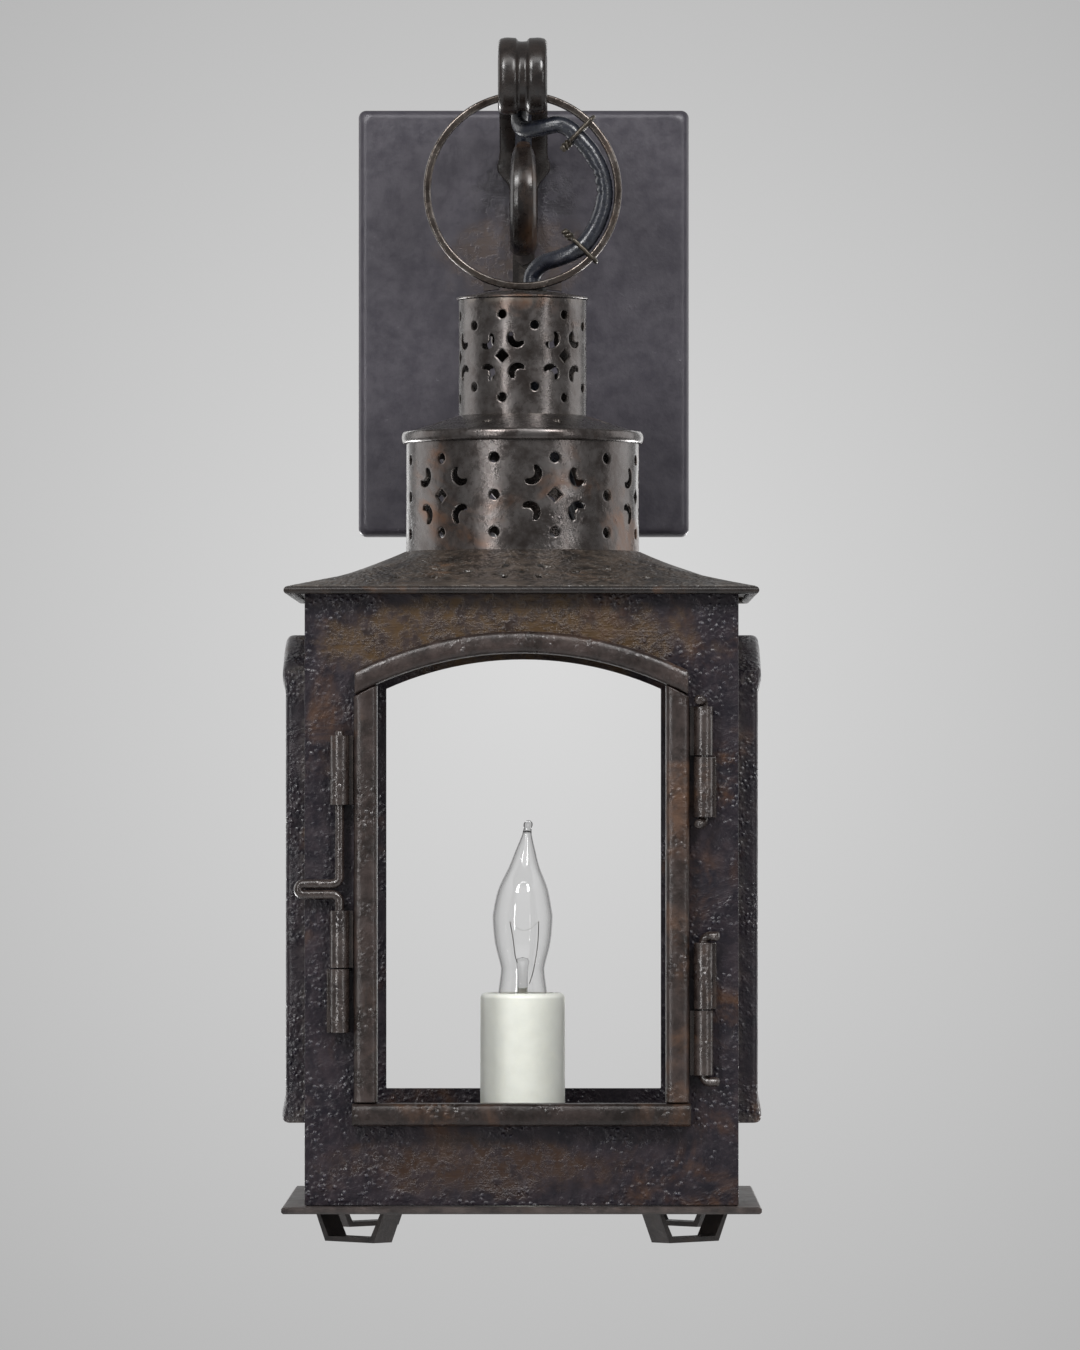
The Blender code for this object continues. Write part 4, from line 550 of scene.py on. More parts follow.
# colour, roughness, metallic, depth and scale of the grain, how far the grain darkens
finishes.update(
    cord=makePlain("blackCordJacket", (0.010, 0.0118, 0.0185), 0.28, 0.0, 0.0002, 420, 0.4,
                   **{"Specular IOR Level": 0.55}),
    rubber=makePlain("softRubber", (0.02, 0.02, 0.02), 0.7, 0.0, 0.0001, 800, 0.2),
    steel=makePlain("dullSteel", (0.30, 0.29, 0.28), 0.38, 1.0, 0.00008, 700, 0.2),
    tieWire=makePlain("darkTieWire", (0.060, 0.050, 0.038), 0.30, 0.6, 0.00006, 900, 0.5),
    wax=makePlain("creamCandleSleeve", (0.79, 0.80, 0.71), 0.40, 0.0, 0.00006, 160, 0.05,
                  **{"Subsurface Weight": 0.4, "Subsurface Scale": 0.010,
                     "Subsurface Radius": (1.0, 0.95, 0.85)}),
    porcelain=makePlain("glazedPorcelain", (0.74, 0.73, 0.69), 0.25, 0.0, 0.00004, 200, 0.04),
    brass=makePlain("bulbBrass", (0.62, 0.50, 0.26), 0.30, 1.0, 0.00005, 500, 0.12),
    tungsten=makePlain("bulbWire", (0.34, 0.32, 0.30), 0.32, 1.0, 0.00002, 1500, 0.1),
    glass=makeGlass("clearBulbGlass", 1.45),
    stemGlass=makeGlass("bulbStemGlass", 1.22),
)
print("finishes made:", len(finishes))


roughScale = 90  # lumps of a hammered surface, per metre
softSteps, softAngle = 2, math.radians(50)


# rough sinks the points by an uneven depth, soft rounds the sharp edges
def addPiece(name, meshData, body, finish, replaced=(),
             sharp=40, soft=0.0, rough=0.0, blend=None):
    points, faces = meshData
    build = bmesh.new()
    corners = [build.verts.new(p) for p in points]
    for face in faces:
        build.faces.new([corners[i] for i in face])
    bmesh.ops.recalc_face_normals(build, faces=build.faces)
    if rough:
        build.normal_update()
        moves = [v.normal * (-rough * abs(noise.noise(v.co * roughScale))) for v in build.verts]
        for vertex, move in zip(build.verts, moves):
            vertex.co += move
    mesh = bpy.data.meshes.new(name)
    build.to_mesh(mesh)
    build.free()
    mesh.shade_smooth()
    mesh.set_sharp_from_angle(angle=math.radians(sharp))
    mesh.materials.append(finishes[finish])
    piece = newObject(name, mesh)
    if soft:
        soften(piece, soft)
    if blend:
        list(blend)
        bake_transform(piece)
    else:
        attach(piece, body)
    if replaced:
        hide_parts(*replaced)


def soften(piece, width):
    rounding = piece.modifiers.new("softEdges", "BEVEL")
    rounding.width = width
    rounding.segments = softSteps
    rounding.limit_method = "ANGLE"
    rounding.angle_limit = softAngle


# a mesh with each of its points moved
def reshaped(meshData, move):
    points, faces = meshData
    return [move(Vector(p)) for p in points], faces


# how far a dented sheet lies below its outer face
def dented(point, depth, scale):
    return depth * (1 + noise.noise(Vector(point) * scale))


# rings of equal count joined into a skin, closed on itself or with a flat face at each end
def loft(rings, closed=False):
    count = len(rings[0])
    points = [p for ring in rings for p in ring]
    faces = []
    for i in range(len(rings) if closed else len(rings) - 1):
        a, b = i * count, (i + 1) % len(rings) * count
        for j in range(count):
            k = (j + 1) % count
            faces.append((a + j, a + k, b + k, b + j))
    if not closed:
        faces.append(tuple(range(count)))
        faces.append(tuple(range(len(points) - count, len(points))))
    return points, faces


# an outline of radii and heights turned about the lantern's axis
def turned(outline, sides):
    points, rings = [], []
    for radius, height in outline:
        ring = circle(0, axisY, radius, sides)
        if radius < near:
            ring = ring[:1]
        rings.append(range(len(points), len(points) + len(ring)))
        points += [(x, y, height) for x, y in ring]
    faces = []
    for a, b in zip(rings, rings[1:] + rings[:1]):
        for j in range(sides):
            face = [a[j % len(a)], a[(j + 1) % len(a)], b[(j + 1) % len(b)], b[j % len(b)]]
            face = list(dict.fromkeys(face))
            if len(face) > 2:
                faces.append(face)
    return points, faces


def inside(point, outline):
    x, y = point
    odd = False
    for (x1, y1), (x2, y2) in zip(outline, outline[1:] + outline[:1]):
        if (y1 > y) != (y2 > y) and x < x1 + (y - y1) * (x2 - x1) / (y2 - y1):
            odd = not odd
    return odd


def reachOf(loop):
    us, vs = [p[0] for p in loop], [p[1] for p in loop]
    return min(us), min(vs), max(us), max(vs)


def inHole(point, holes):
    for (u0, v0, u1, v1), loop in holes:
        if u0 < point[0] < u1 and v0 < point[1] < v1 and inside(point, loop):
            return True
    return False


# moves a loop's points outward by a small width
def grown(loop, width):
    area = sum(a[0] * b[1] - b[0] * a[1] for a, b in zip(loop, loop[1:] + loop[:1]))
    side = 1 if area > 0 else -1
    moved = []
    for i, p in enumerate(loop):
        a, b = loop[i - 1], loop[(i + 1) % len(loop)]
        along = Vector((b[0] - a[0], b[1] - a[1])).normalized()
        moved.append((p[0] + side * along.y * width, p[1] - side * along.x * width))
    return moved


# a loop's corners and the points between them, no further apart than spacing
def densified(loop, spacing):
    dense = []
    for (u0, v0), (u1, v1) in zip(loop, loop[1:] + loop[:1]):
        pieces = max(1, math.ceil(math.dist((u0, v0), (u1, v1)) / spacing))
        dense += [(u0 + (u1 - u0) * i / pieces, v0 + (v1 - v0) * i / pieces) for i in range(pieces)]
    return dense


lip = 0.00035  # width of each ring round a hole


# a pierced sheet on a fine mesh: place(u, v, depth) carries the flat pattern into space.
# The edge of a hole is rounded over by dish, within two rings that keep the sheet around it flat.
def piercedSheet(outline, holes, place, thickness, spacing, wrap=None, dish=0.0, dent=None):
    outline = densified(outline, spacing)
    flat, edges, sunk = [], [], set()

    def addLoop(loop):
        start = len(flat)
        flat.extend(Vector(p) for p in loop)
        edges.extend((start + i, start + (i + 1) % len(loop)) for i in range(len(loop)))
        return range(start, len(flat))

    addLoop(outline)
    for hole in holes:
        span = addLoop(hole)
        if dish:
            sunk.update(span)
            addLoop(grown(hole, lip))
            addLoop(grown(hole, 2 * lip))
    guards = [(reachOf(g), g) for g in (grown(hole, 4 * lip) for hole in holes)]
    u0, v0, u1, v1 = reachOf(outline)
    rows, columns = (max(2, round(reach / spacing)) for reach in (v1 - v0, u1 - u0))
    outer = [(reachOf(outline), outline)]
    for j in range(1, rows):
        for i in range(1, columns):
            p = (u0 + (u1 - u0) * i / columns, v0 + (v1 - v0) * j / rows)
            if inHole(p, outer) and not inHole(p, guards):
                flat.append(Vector(p))
    flat, _, triangles, origins, *_ = delaunay_2d_cdt(flat, edges, [], 0, 0.1 * near)
    holeBoxes = [(reachOf(hole), hole) for hole in holes]
    kept = []
    for triangle in triangles:
        middle = sum((flat[i] for i in triangle), Vector((0, 0))) / 3
        if inHole(middle, outer) and not inHole(middle, holeBoxes):
            kept.append(triangle)
    seam = {}
    if wrap:
        ends = [sorted((p.y, i) for i, p in enumerate(flat) if abs(p.x - x) < near) for x in (wrap, 0)]
        seam = {i: j for (_, i), (_, j) in zip(*ends)}
    kept = [[seam.get(i, i) for i in triangle] for triangle in kept]
    used = sorted({i for triangle in kept for i in triangle})
    order = {i: n for n, i in enumerate(used)}
    outside, within = [], []
    for i in used:
        u, v = flat[i]
        low = dent(u, v) if dent else 0.0
        sink = dish if sunk.intersection(origins[i]) else 0.0
        outside.append(place(u, v, low + sink))
        within.append(place(u, v, low + thickness))
    size = len(used)
    faces, sides = [], set()
    for triangle in kept:
        a, b, c = (order[i] for i in triangle)
        faces += [(a, b, c), (c + size, b + size, a + size)]
        sides.update(((a, b), (b, c), (c, a)))
    faces += [(b, a, a + size, b + size) for a, b in sides if (b, a) not in sides]
    return outside + within, faces


# a smooth line through the given points
def smoothRoute(points, step):
    dense = []
    run = [Vector(p) for p in points]
    run = [2 * run[0] - run[1], *run, 2 * run[-1] - run[-2]]
    for a, b, c, d in zip(run, run[1:], run[2:], run[3:]):
        pieces = max(1, round((c - b).length / step))
        for i in range(pieces):
            t = i / pieces
            bend = (2 * a - 5 * b + 4 * c - d) * t * t + (3 * b - a - 3 * c + d) * t**3
            dense.append(b + ((c - a) * t + bend) / 2)
    return [*dense, Vector(points[-1])]


# straight runs with each corner rounded
def bentRod(corners, radii, steps=10):
    corners = [Vector(c) for c in corners]
    points = [corners[0]]
    for a, b, c, radius in zip(corners, corners[1:], corners[2:], radii):
        wayIn, wayOut = (b - a).normalized(), (c - b).normalized()
        turn = wayIn.angle(wayOut)
        side = (wayOut - wayIn * math.cos(turn)).normalized()
        start = b - wayIn * radius * math.tan(turn / 2)
        for i in range(steps + 1):
            t = turn * i / steps
            points.append(start + radius * (math.sin(t) * wayIn + (1 - math.cos(t)) * side))
    return [*points, corners[-1]]


domeShares = (0.35, 0.65, 0.88)


# a round rod along a line, its ends domed by a share of the radius
def rod(points, radius, sides=16, dome=0.6):
    points = [Vector(p) for p in points]
    ways = [(b - a).normalized() for a, b in zip(points, points[1:])]
    tangents = [ways[0]] + [(a + b).normalized() for a, b in zip(ways, ways[1:])] + [ways[-1]]
    side = tangents[0].orthogonal().normalized()
    rings = []
    for point, tangent in zip(points, tangents):
        side = (side - tangent * side.dot(tangent)).normalized()
        other = tangent.cross(side)
        rings.append([point + x * side + y * other for x, y in circle(0, 0, radius, sides)])
    if dome:
        for end, spot, way in ((0, points[0], -ways[0]), (-1, points[-1], ways[-1])):
            base = rings[end]
            caps = []
            for share in domeShares:
                shrink = math.sqrt(1 - share * share)
                push = way * (radius * dome * (share - 1))
                caps.append([spot + push + (p - spot) * shrink for p in base])
            rings[end] = [p - way * radius * dome for p in base]
            rings = rings + caps if end else caps[::-1] + rings
    return loft(rings)


plateSet = dict(width=0.152, height=0.196, depth=0.018, sheet=0.0015, edge=0.004, edgeSteps=8,
                corner=0.0035, cornerGrowth=0.4)


def roundedBox(width, height, radius, steps=8):
    x, z, quarter = width / 2 - radius, height / 2 - radius, math.pi / 2
    points = []
    for corner, (sideX, sideZ) in enumerate(((1, 1), (-1, 1), (-1, -1), (1, -1))):
        points += arc(sideX * x, sideZ * z, radius, quarter * corner, quarter * (corner + 1), steps)
    return points


def makePlate():
    s = plateSet
    edge = arc(s["edge"] - s["depth"], s["edge"], s["edge"], -math.pi / 2, -math.pi, s["edgeSteps"])
    inner = [(y + s["sheet"], inset + s["sheet"]) for y, inset in edge]
    rings = []
    for y, inset in [*inner[::-1], (0.0, s["sheet"]), (0.0, 0.0), *edge]:
        corner = s["corner"] + s["cornerGrowth"] * inset
        loop = roundedBox(s["width"] - 2 * inset, s["height"] - 2 * inset, corner)
        rings.append([(x, y, z) for x, z in loop])
    addPiece("wallPlate", loft(rings), "bracket", "plate", ["wall_plate"])


# grooveLine has shares of the groove's half width and depth, shoulder and heel go in from the strap's
# edge and away from its outer and its inner side
strapSet = dict(
    curlZ=0.1054, curlR=0.0174, curlEnd=math.radians(330), footZ=0.064, scrollZ=0.0556, scrollR=0.0262,
    scrollEnd=math.radians(-262), faceY=-0.0183, thick=0.0053, grooveWide=0.0043, grooveDeep=0.0018,
    grooveMost=0.3, grooveFade=3, crown=0.0012, wide=0.022, earWide=0.0246, earRise=0.0080,
    earReach=0.0042, earRun=0.0110, scrollWide=0.0132, faceWide=0.0122, tipWide=0.0080, tipFrom=0.72,
    curlSteps=60, armSteps=80, footSteps=6, scrollSteps=80, tipShares=(0.35, 0.65, 0.85, 0.97),
    tipLong=1 / 3, ribSag=0.0001, flat=0.4,
    grooveLine=((0.35, 1), (0.85, 0.92), (1.15, 0.45), (1.45, 0.12)),
    shoulder=((0.0014, 0.0005), (0.0005, 0.0012), (0, 0.0024)),
    heel=((0, 0.0012), (0.0003, 0.0004), (0.0010, 0)),
)


# the strap swells into two ears above its foot and narrows to the scroll below them
def armWidth(z):
    s = strapSet
    over = z - s["footZ"] - s["earRise"]
    if over >= 0:
        return s["wide"] + (s["earWide"] - s["wide"]) * math.exp(-(over / s["earReach"]) ** 2)
    share = min(1.0, -over / s["earRun"])
    return s["earWide"] + (s["scrollWide"] - s["earWide"]) * (1 - math.cos(math.pi * share)) / 2


def unitAt(turn):
    return Vector((math.cos(turn), math.sin(turn)))


# stations along the strap, each with its outward direction, its width and how deep the groove still is
def strapLine():
    s = strapSet
    line = []
    for i in range(s["curlSteps"]):
        out = unitAt(s["curlEnd"] + (math.pi / 2 - s["curlEnd"]) * i / s["curlSteps"])
        line.append((Vector((axisY, s["curlZ"])) + s["curlR"] * out, out, s["wide"], 1.0))
    run, rise = s["faceY"] - axisY, s["curlZ"] + s["curlR"] - s["footZ"]
    for i in range(s["armSteps"] + 1):
        share = i / s["armSteps"]
        way = unitAt(math.pi / 2 * (1 - share))
        spot = Vector((axisY + run * way.x, s["footZ"] + rise * way.y))
        out = Vector((way.x / run, way.y / rise)).normalized()
        line.append((spot, out, armWidth(spot.y), 1 - share ** s["grooveFade"]))
    for i in range(1, s["footSteps"]):
        z = s["footZ"] + (s["scrollZ"] - s["footZ"]) * i / s["footSteps"]
        line.append((Vector((s["faceY"], z)), Vector((1, 0)), armWidth(z), 0.0))
    middle = Vector((s["faceY"] - s["scrollR"], s["scrollZ"]))
    for i in range(s["scrollSteps"] + 1):
        share = i / s["scrollSteps"]
        out = unitAt(s["scrollEnd"] * share)
        width = s["scrollWide"] + (s["faceWide"] - s["scrollWide"]) * min(1, share / s["tipFrom"])
        narrow = max(0, share - s["tipFrom"]) / (1 - s["tipFrom"])
        width += (s["tipWide"] - s["faceWide"]) * narrow**2
        line.append((middle + s["scrollR"] * out, out, width, 0.0))
    spot, out, width, _ = line[-1]
    way = Vector((out.y, -out.x))
    for share in s["tipShares"]:
        end = width * (1 + math.sqrt(1 - share * share)) / 2
        line.append((spot + way * (share * width * s["tipLong"]), out, end, 0.0))
    return line


# two round ribs with a groove between them, or a single crown where the groove has run out
def strapSection(width, groove):
    s = strapSet
    half, thick, crown = width / 2, s["thick"], s["crown"] * (1 - groove)
    grooveHalf, deep = min(s["grooveWide"], s["grooveMost"] * width) / 2, s["grooveDeep"] * groove
    rib = (grooveHalf + half) / 2
    top = [(across * grooveHalf, -share * deep) for across, share in s["grooveLine"]]
    ribFrom, ribTo = top[-1][0], half - s["shoulder"][0][0]
    top += [((ribFrom + rib) / 2, -s["ribSag"]), (rib, 0), ((rib + ribTo) / 2, -s["ribSag"])]
    top += [(half - inset, -drop) for inset, drop in s["shoulder"]]
    right = [(x, depth - crown * (x / half) ** 2) for x, depth in top]
    right += [(half - inset, rise - thick) for inset, rise in s["heel"]]
    right.append((s["flat"] * half, -thick))
    return right + [(-x, depth) for x, depth in right[::-1]]


def makeBracket():
    rings = []
    for spot, out, width, groove in strapLine():
        rings.append([(x, *(spot + depth * out)) for x, depth in strapSection(width, groove)])
    addPiece("scrollBracket", loft(rings), "bracket", "forged", ["bracket_arm"], sharp=50, rough=0.00012)


ringSet = dict(outer=0.0445, thick=0.0034, wide=0.005, edge=0.0009, edgeSteps=3, steps=160)
ringMiddle = Vector((0, axisY, sum(levels("hanging_ring")) / 2))
ringInner = ringSet["outer"] - ringSet["thick"]


def makeRing():
    s = ringSet
    section = roundedBox(s["thick"], s["wide"], s["edge"], s["edgeSteps"])
    rings = []
    for i in range(s["steps"]):
        way = unitAt(2 * math.pi * i / s["steps"])
        reach = [(s["outer"] - s["thick"] / 2 + r, y) for r, y in section]
        rings.append([(r * way.x, axisY + y, ringMiddle.z + r * way.y) for r, y in reach])
    addPiece("hangRing", loft(rings, True), "lantern", "ring", ["hanging_ring"], sharp=60, rough=0.00012)


makePlate()
makeBracket()
makeRing()
print("plate, bracket and ring made")


cordSet = dict(
    radius=0.0038, sides=24, step=0.0008,
    creases=(0.0088, 0.0059, 0.0018, -0.0012), creaseDeep=0.0009, creaseWide=0.0008,
    inArm=[(0, -0.0045, 0.0680), (0, -0.0140, 0.0680), (0, -0.0235, 0.0680), (0, -0.0310, 0.0699),
           (0, -0.0368, 0.0749), (0, -0.0402, 0.0817), (0, -0.0438, 0.0882), (0, -0.0490, 0.0940),
           (0, -0.0590, 0.1003), (0, -0.0680, 0.1042)],
    loop=[(0, -0.0683, 0.1043), (0, -0.0711, 0.1055), (0, -0.0800, 0.1069), (0, -0.0905, 0.1019),
          (-0.0008, -0.0985, 0.0933), (-0.0014, -0.1050, 0.0858), (0.0012, -0.1115, 0.0823),
          (0.0085, -0.1168, 0.0826), (0.0160, -0.1194, 0.0839), (0.0214, -0.1200, 0.0816),
          (0.0238, -0.1200, 0.0791)],
    inLantern=[(0.0240, -0.1200, 0.0789), (0.0264, -0.1200, 0.0765), (0.0312, -0.1200, 0.0706),
               (0.0355, -0.1200, 0.0615), (0.0367, -0.1200, 0.0508), (0.0340, -0.1200, 0.0403),
               (0.0288, -0.1200, 0.0315), (0.0238, -0.1196, 0.0271), (0.0165, -0.1172, 0.0241),
               (0.0092, -0.1130, 0.0219), (0.0047, -0.1100, 0.0173), (0.0040, -0.1095, 0.0115),
               (0.0040, -0.1095, 0.0015), (0.0042, -0.1094, -0.0095), (0.0070, -0.1080, -0.0315),
               (0.0150, -0.1030, -0.0615), (0.0262, -0.0938, -0.0945), (0.0330, -0.0870, -0.1145),
               (0.0460, -0.0740, -0.1301), (0.0640, -0.0560, -0.1441), (0.0785, -0.0415, -0.1611),
               (0.0854, -0.0346, -0.1891), (0.0854, -0.0346, -0.2411), (0.0854, -0.0346, -0.3216),
               (0.0850, -0.0350, -0.3616), (0.0790, -0.0410, -0.3836), (0.0640, -0.0560, -0.3918),
               (0.0400, -0.0800, -0.3924), (0.0200, -0.1000, -0.3922), (0.0122, -0.1078, -0.3918),
               (0.0078, -0.1122, -0.3878), (0.0070, -0.1130, -0.3791), (0.0070, -0.1130, -0.3666),
               (0.0070, -0.1130, -0.3547)],
)


# the jacket is creased on the inner side of its bend beside the ring, at heights over the ring's middle
def creased(point):
    s = cordSet
    bend = ringInner - s["radius"] - gap
    out = point - ringMiddle
    out.y = 0
    if out.x <= bend / 2:
        return point
    inner = min(max((bend - out.length) / s["radius"], 0), 1)
    deep = sum(math.exp(-((out.z - level) / s["creaseWide"]) ** 2) for level in s["creases"])
    return point + out.normalized() * (s["creaseDeep"] * min(deep, 1) * inner)


# the loose loop hangs between the bracket and the lantern, tied to neither body
def makeCord():
    s = cordSet
    runs = [
        ("cordInArm", "cord_in_arm", "inArm", "bracket", None),
        ("cordLoop", "cord_loop", "loop", None, ("bracket", "lantern", s["loop"][0], s["loop"][-1])),
        ("cordInLantern", "cord_in_lantern", "inLantern", "lantern", None),
    ]
    for name, node, run, body, bend in runs:
        tube = rod(smoothRoute(s[run], s["step"]), s["radius"], s["sides"], 0)
        addPiece(name, reshaped(tube, creased), body, "cord", [node], blend=bend)


tieSet = dict(wire=0.0010, sides=10, dome=0.5, tail=0.0048, twists=1.2, twistR=1.05, steps=24, pinch=0.0010,
              bends=(0.0015, 0.0025, 0.0025, 0.0015), bendSteps=6,
              angles=(("tieUpper", "cord_tie_upper", 46), ("tieLower", "cord_tie_lower", -44)))


# a wire round the cord and the ring, its two ends twisted together
def makeTies():
    s = tieSet
    wire = s["wire"]
    low = ringInner - 2 * cordSet["radius"] - 3 * gap - wire
    high = ringSet["outer"] + gap + wire
    side = cordSet["radius"] + 2 * gap + wire
    for name, node, degrees in s["angles"]:
        x, z = unitAt(math.radians(degrees))
        way, across = Vector((x, 0, z)), Vector((-z, 0, x))
        tails = []
        for half in (1, -1):
            tail = []
            for i in range(s["steps"] + 1):
                twist = 2 * math.pi * s["twists"] * i / s["steps"]
                away = low - s["pinch"] - s["tail"] * i / s["steps"]
                spin = Vector((0, math.cos(twist), 0)) + math.sin(twist) * across
                tail.append(ringMiddle + away * way + half * s["twistR"] * wire * spin)
            tails.append(tail)
        hoop = [(low, side), (high, side), (high, -side), (low, -side)]
        corners = [ringMiddle + r * way + Vector((0, y, 0)) for r, y in hoop]
        line = bentRod([tails[0][0], *corners, tails[1][0]], s["bends"], s["bendSteps"])
        line = [*tails[0][:0:-1], *line, *tails[1][1:]]
        addPiece(name, rod(line, wire, s["sides"], s["dome"]), "lantern", "tieWire", [node])


makeCord()
makeTies()
print("cord laid")


chimneyLow, chimneyTop = levels("chimney")
drumLow, drumTop = levels("drum")
lidTop = levels("drum_lid")[1]
roofTop = levels("roof")[1]
stack = dict(sheet=0.0012, dish=0.00016, dent=(0.00018, 70), motifs=6, seamShare=0.38,
             chimneyR=0.02875, drumR=0.0523, capR=0.0296, capRise=0.0032, capSheet=0.001, capSpacing=0.003,
             capHole=(0.0040, 0.0105, 0.0058, 28), capSides=96, lidRise=0.0076, lidSheet=0.001, lidHoles=8,
             lidHole=0.0022, lidSpacing=0.0035, boreSides=96, rimTall=0.0054, rimThick=0.0016,
             rimStand=0.0004, rimFlat=0.15, rimEase=0.0003, rimSteps=12, drumSides=120)
chimneySet = dict(first=math.radians(-18.8), spacing=0.0022, diamond=0.0033, dot=0.0021, dotRise=0.0185,
                  dotLevels=(-1, 1), pairRise=0.0137, pairLevels=(-1, 1), moon=0.0048,
                  moonAt=(0.0076, 0.0080), loose=0.0012)
drumSet = dict(first=math.radians(16.2), spacing=0.0028, diamond=0.0036, dot=0.0024, dotRise=0.0165,
               dotLevels=(-1, 1), pairRise=0.0165, pairLevels=(-1, 0, 1), moon=0.0055,
               moonAt=(0.0117, 0.0088), loose=0.0014)
# a crescent's form in shares of its radius and thickness, and how unevenly the crescents lie
moonSet = dict(middle=0.67, half=0.33, thin=0.35, sweep=math.radians(84), blunt=0.30, steps=12,
               scatter=57, twist=0.3)


def diamond(u, v, reach, steps=6):
    tips = [(reach, 0), (0, reach), (-reach, 0), (0, -reach)]
    points = []
    for (x0, y0), (x1, y1) in zip(tips, tips[1:] + tips[:1]):
        for t in (i / steps for i in range(steps)):
            points.append((u + (1 - t) * x0 + t * x1, v + (1 - t) * y0 + t * y1))
    return points


# a thick crescent with blunt ends and its round back toward the diamond
def crescent(u, v, radius, toward):
    s = moonSet
    middle, half, sweep = s["middle"] * radius, s["half"] * radius, s["sweep"]
    outer, inner = [], []
    for i in range(s["steps"] + 1):
        share = 2 * i / s["steps"] - 1
        thick = half * (1 - s["thin"] * share * share)
        outer.append((middle + thick, toward + sweep * share))
        inner.append((middle - thick, toward + sweep * share))
    ends = [(middle, toward + side * (sweep + s["blunt"])) for side in (1, -1)]
    loop = [*outer, ends[0], *inner[::-1], ends[1]]
    return [(u + r * math.cos(turn), v + r * math.sin(turn)) for r, turn in loop]


# a diamond between four crescents and some dots
def motif(u, v, s):
    holes = [diamond(u, v, s["diamond"])]
    scatter = moonSet["scatter"]
    for side in (-1, 1):
        for level in (-1, 1):
            x, y = s["moonAt"]
            loose = noise.noise_vector(Vector((scatter * u, scatter * v, 3 * side + level)))
            toward = math.atan2(-level * y, -side * x) + moonSet["twist"] * loose.z
            x, y = side * x + s["loose"] * loose.x, level * y + s["loose"] * loose.y
            holes.append(crescent(u + x, v + y, s["moon"], toward))
    return holes + [circle(u, v + level * s["dotRise"], s["dot"]) for level in s["dotLevels"]]


# the pattern is laid out flat from a seam at the back
def piercedTube(radius, low, high, middle, s):
    width = 2 * math.pi * radius
    step = 2 * math.pi / stack["motifs"]
    seam = s["first"] + math.pi + stack["seamShare"] * step
    holes = []
    for i in range(stack["motifs"]):
        u = radius * (s["first"] + step * i)
        holes += motif(u, middle, s)
        between = u + radius * step / 2
        holes += [circle(between, middle + k * s["pairRise"], s["dot"]) for k in s["pairLevels"]]
    laid = []
    for hole in holes:
        turns = math.floor((sum(p[0] for p in hole) / len(hole) - seam * radius) / width)
        laid.append([(p[0] - seam * radius - width * turns, p[1]) for p in hole])

    def place(u, v, depth):
        turn = u / radius + seam - math.pi / 2
        return ((radius - depth) * math.cos(turn), axisY + (radius - depth) * math.sin(turn), v)

    def dent(u, v):
        return dented(place(u, v, 0), *stack["dent"])

    outline = [(0, low), (width, low), (width, high), (0, high)]
    return piercedSheet(outline, laid, place, stack["sheet"], s["spacing"], width, stack["dish"], dent)


def makeTubes():
    s = stack
    tube = piercedTube(s["chimneyR"], chimneyLow, chimneyTop, (chimneyTop + lidTop) / 2, chimneySet)
    addPiece("chimneyTube", tube, "lantern", "pierced", ["chimney"])
    middle = (lidTop - s["lidRise"] - s["rimTall"] + roofTop) / 2
    tube = piercedTube(s["drumR"], drumLow, drumTop, middle, drumSet)
    addPiece("drumTube", tube, "lantern", "pierced", ["drum"])


def makeCapAndLid():
    s = stack

    def capPlace(x, y, depth):
        crown = s["capRise"] * (1 - (x * x + y * y) / s["capR"] ** 2)
        return (x, axisY + y, chimneyTop + gap + s["capSheet"] + crown - depth)

    rim = circle(0, 0, s["capR"], s["capSides"])
    cap = piercedSheet(rim, [circle(*s["capHole"])], capPlace, s["capSheet"], s["capSpacing"])
    addPiece("chimneyCap", cap, "lantern", "pierced", ["chimney_cap"], soft=0.0003)
    bore = s["chimneyR"] + gap
    slope = s["lidRise"] / (s["drumR"] - bore)

    def lidPlace(x, y, depth):
        return (x, axisY + y, lidTop - slope * (math.hypot(x, y) - bore) - depth)

    middle = (bore + s["drumR"]) / 2
    holes = [circle(0, 0, bore, s["boreSides"])]
    first = math.pi / s["lidHoles"]
    for x, y in arc(0, 0, middle, first, first + 2 * math.pi, s["lidHoles"])[:-1]:
        holes.append(circle(x, y, s["lidHole"]))
    rim = circle(0, 0, s["drumR"], s["drumSides"])
    lid = piercedSheet(rim, holes, lidPlace, s["lidSheet"], s["lidSpacing"])
    addPiece("drumLid", lid, "lantern", "pierced", ["drum_lid"])


def makeRim():
    s = stack
    bore, tall = s["drumR"] + gap, s["rimTall"]
    top = lidTop - s["lidRise"] + s["rimStand"]
    flat, bulge = s["rimFlat"] * s["rimThick"], (1 - s["rimFlat"]) * s["rimThick"]
    outline = [(bore, top - tall), (bore, top - s["rimEase"])]
    for out, rise in arc(0, 0, 1, math.pi / 2, -math.pi / 2, s["rimSteps"]):
        outline.append((bore + flat + bulge * out, top - tall / 2 + tall / 2 * rise))
    addPiece("drumRim", turned(outline, s["drumSides"]), "lantern", "pierced", ["drum_rim"], rough=0.0001)


roofSet = dict(half=0.104, rise=0.0178, flare=0.28, sheet=0.0012, spacing=0.004, dent=(0.0002, 60),
               hem=0.0018, hemSteps=24, hemSides=14, diamond=0.0036, moon=0.0048, moonAt=(0.0105, 0.0085),
               loose=0.001, dot=0.0023, dotRise=0, dotLevels=(), spread=0.038,
               dots=((0.62, 0), (1.0, -1), (1.0, 0.6), (1.45, -0.9)))


def roofZ(x, y):
    s = roofSet
    bore = stack["drumR"] + gap
    reach = math.hypot(x, y)
    eave = s["half"] * reach / max(abs(x), abs(y), near)
    share = (reach - bore) / (eave - bore)
    return roofTop - s["rise"] * (share + s["flare"] * share * (1 - share))


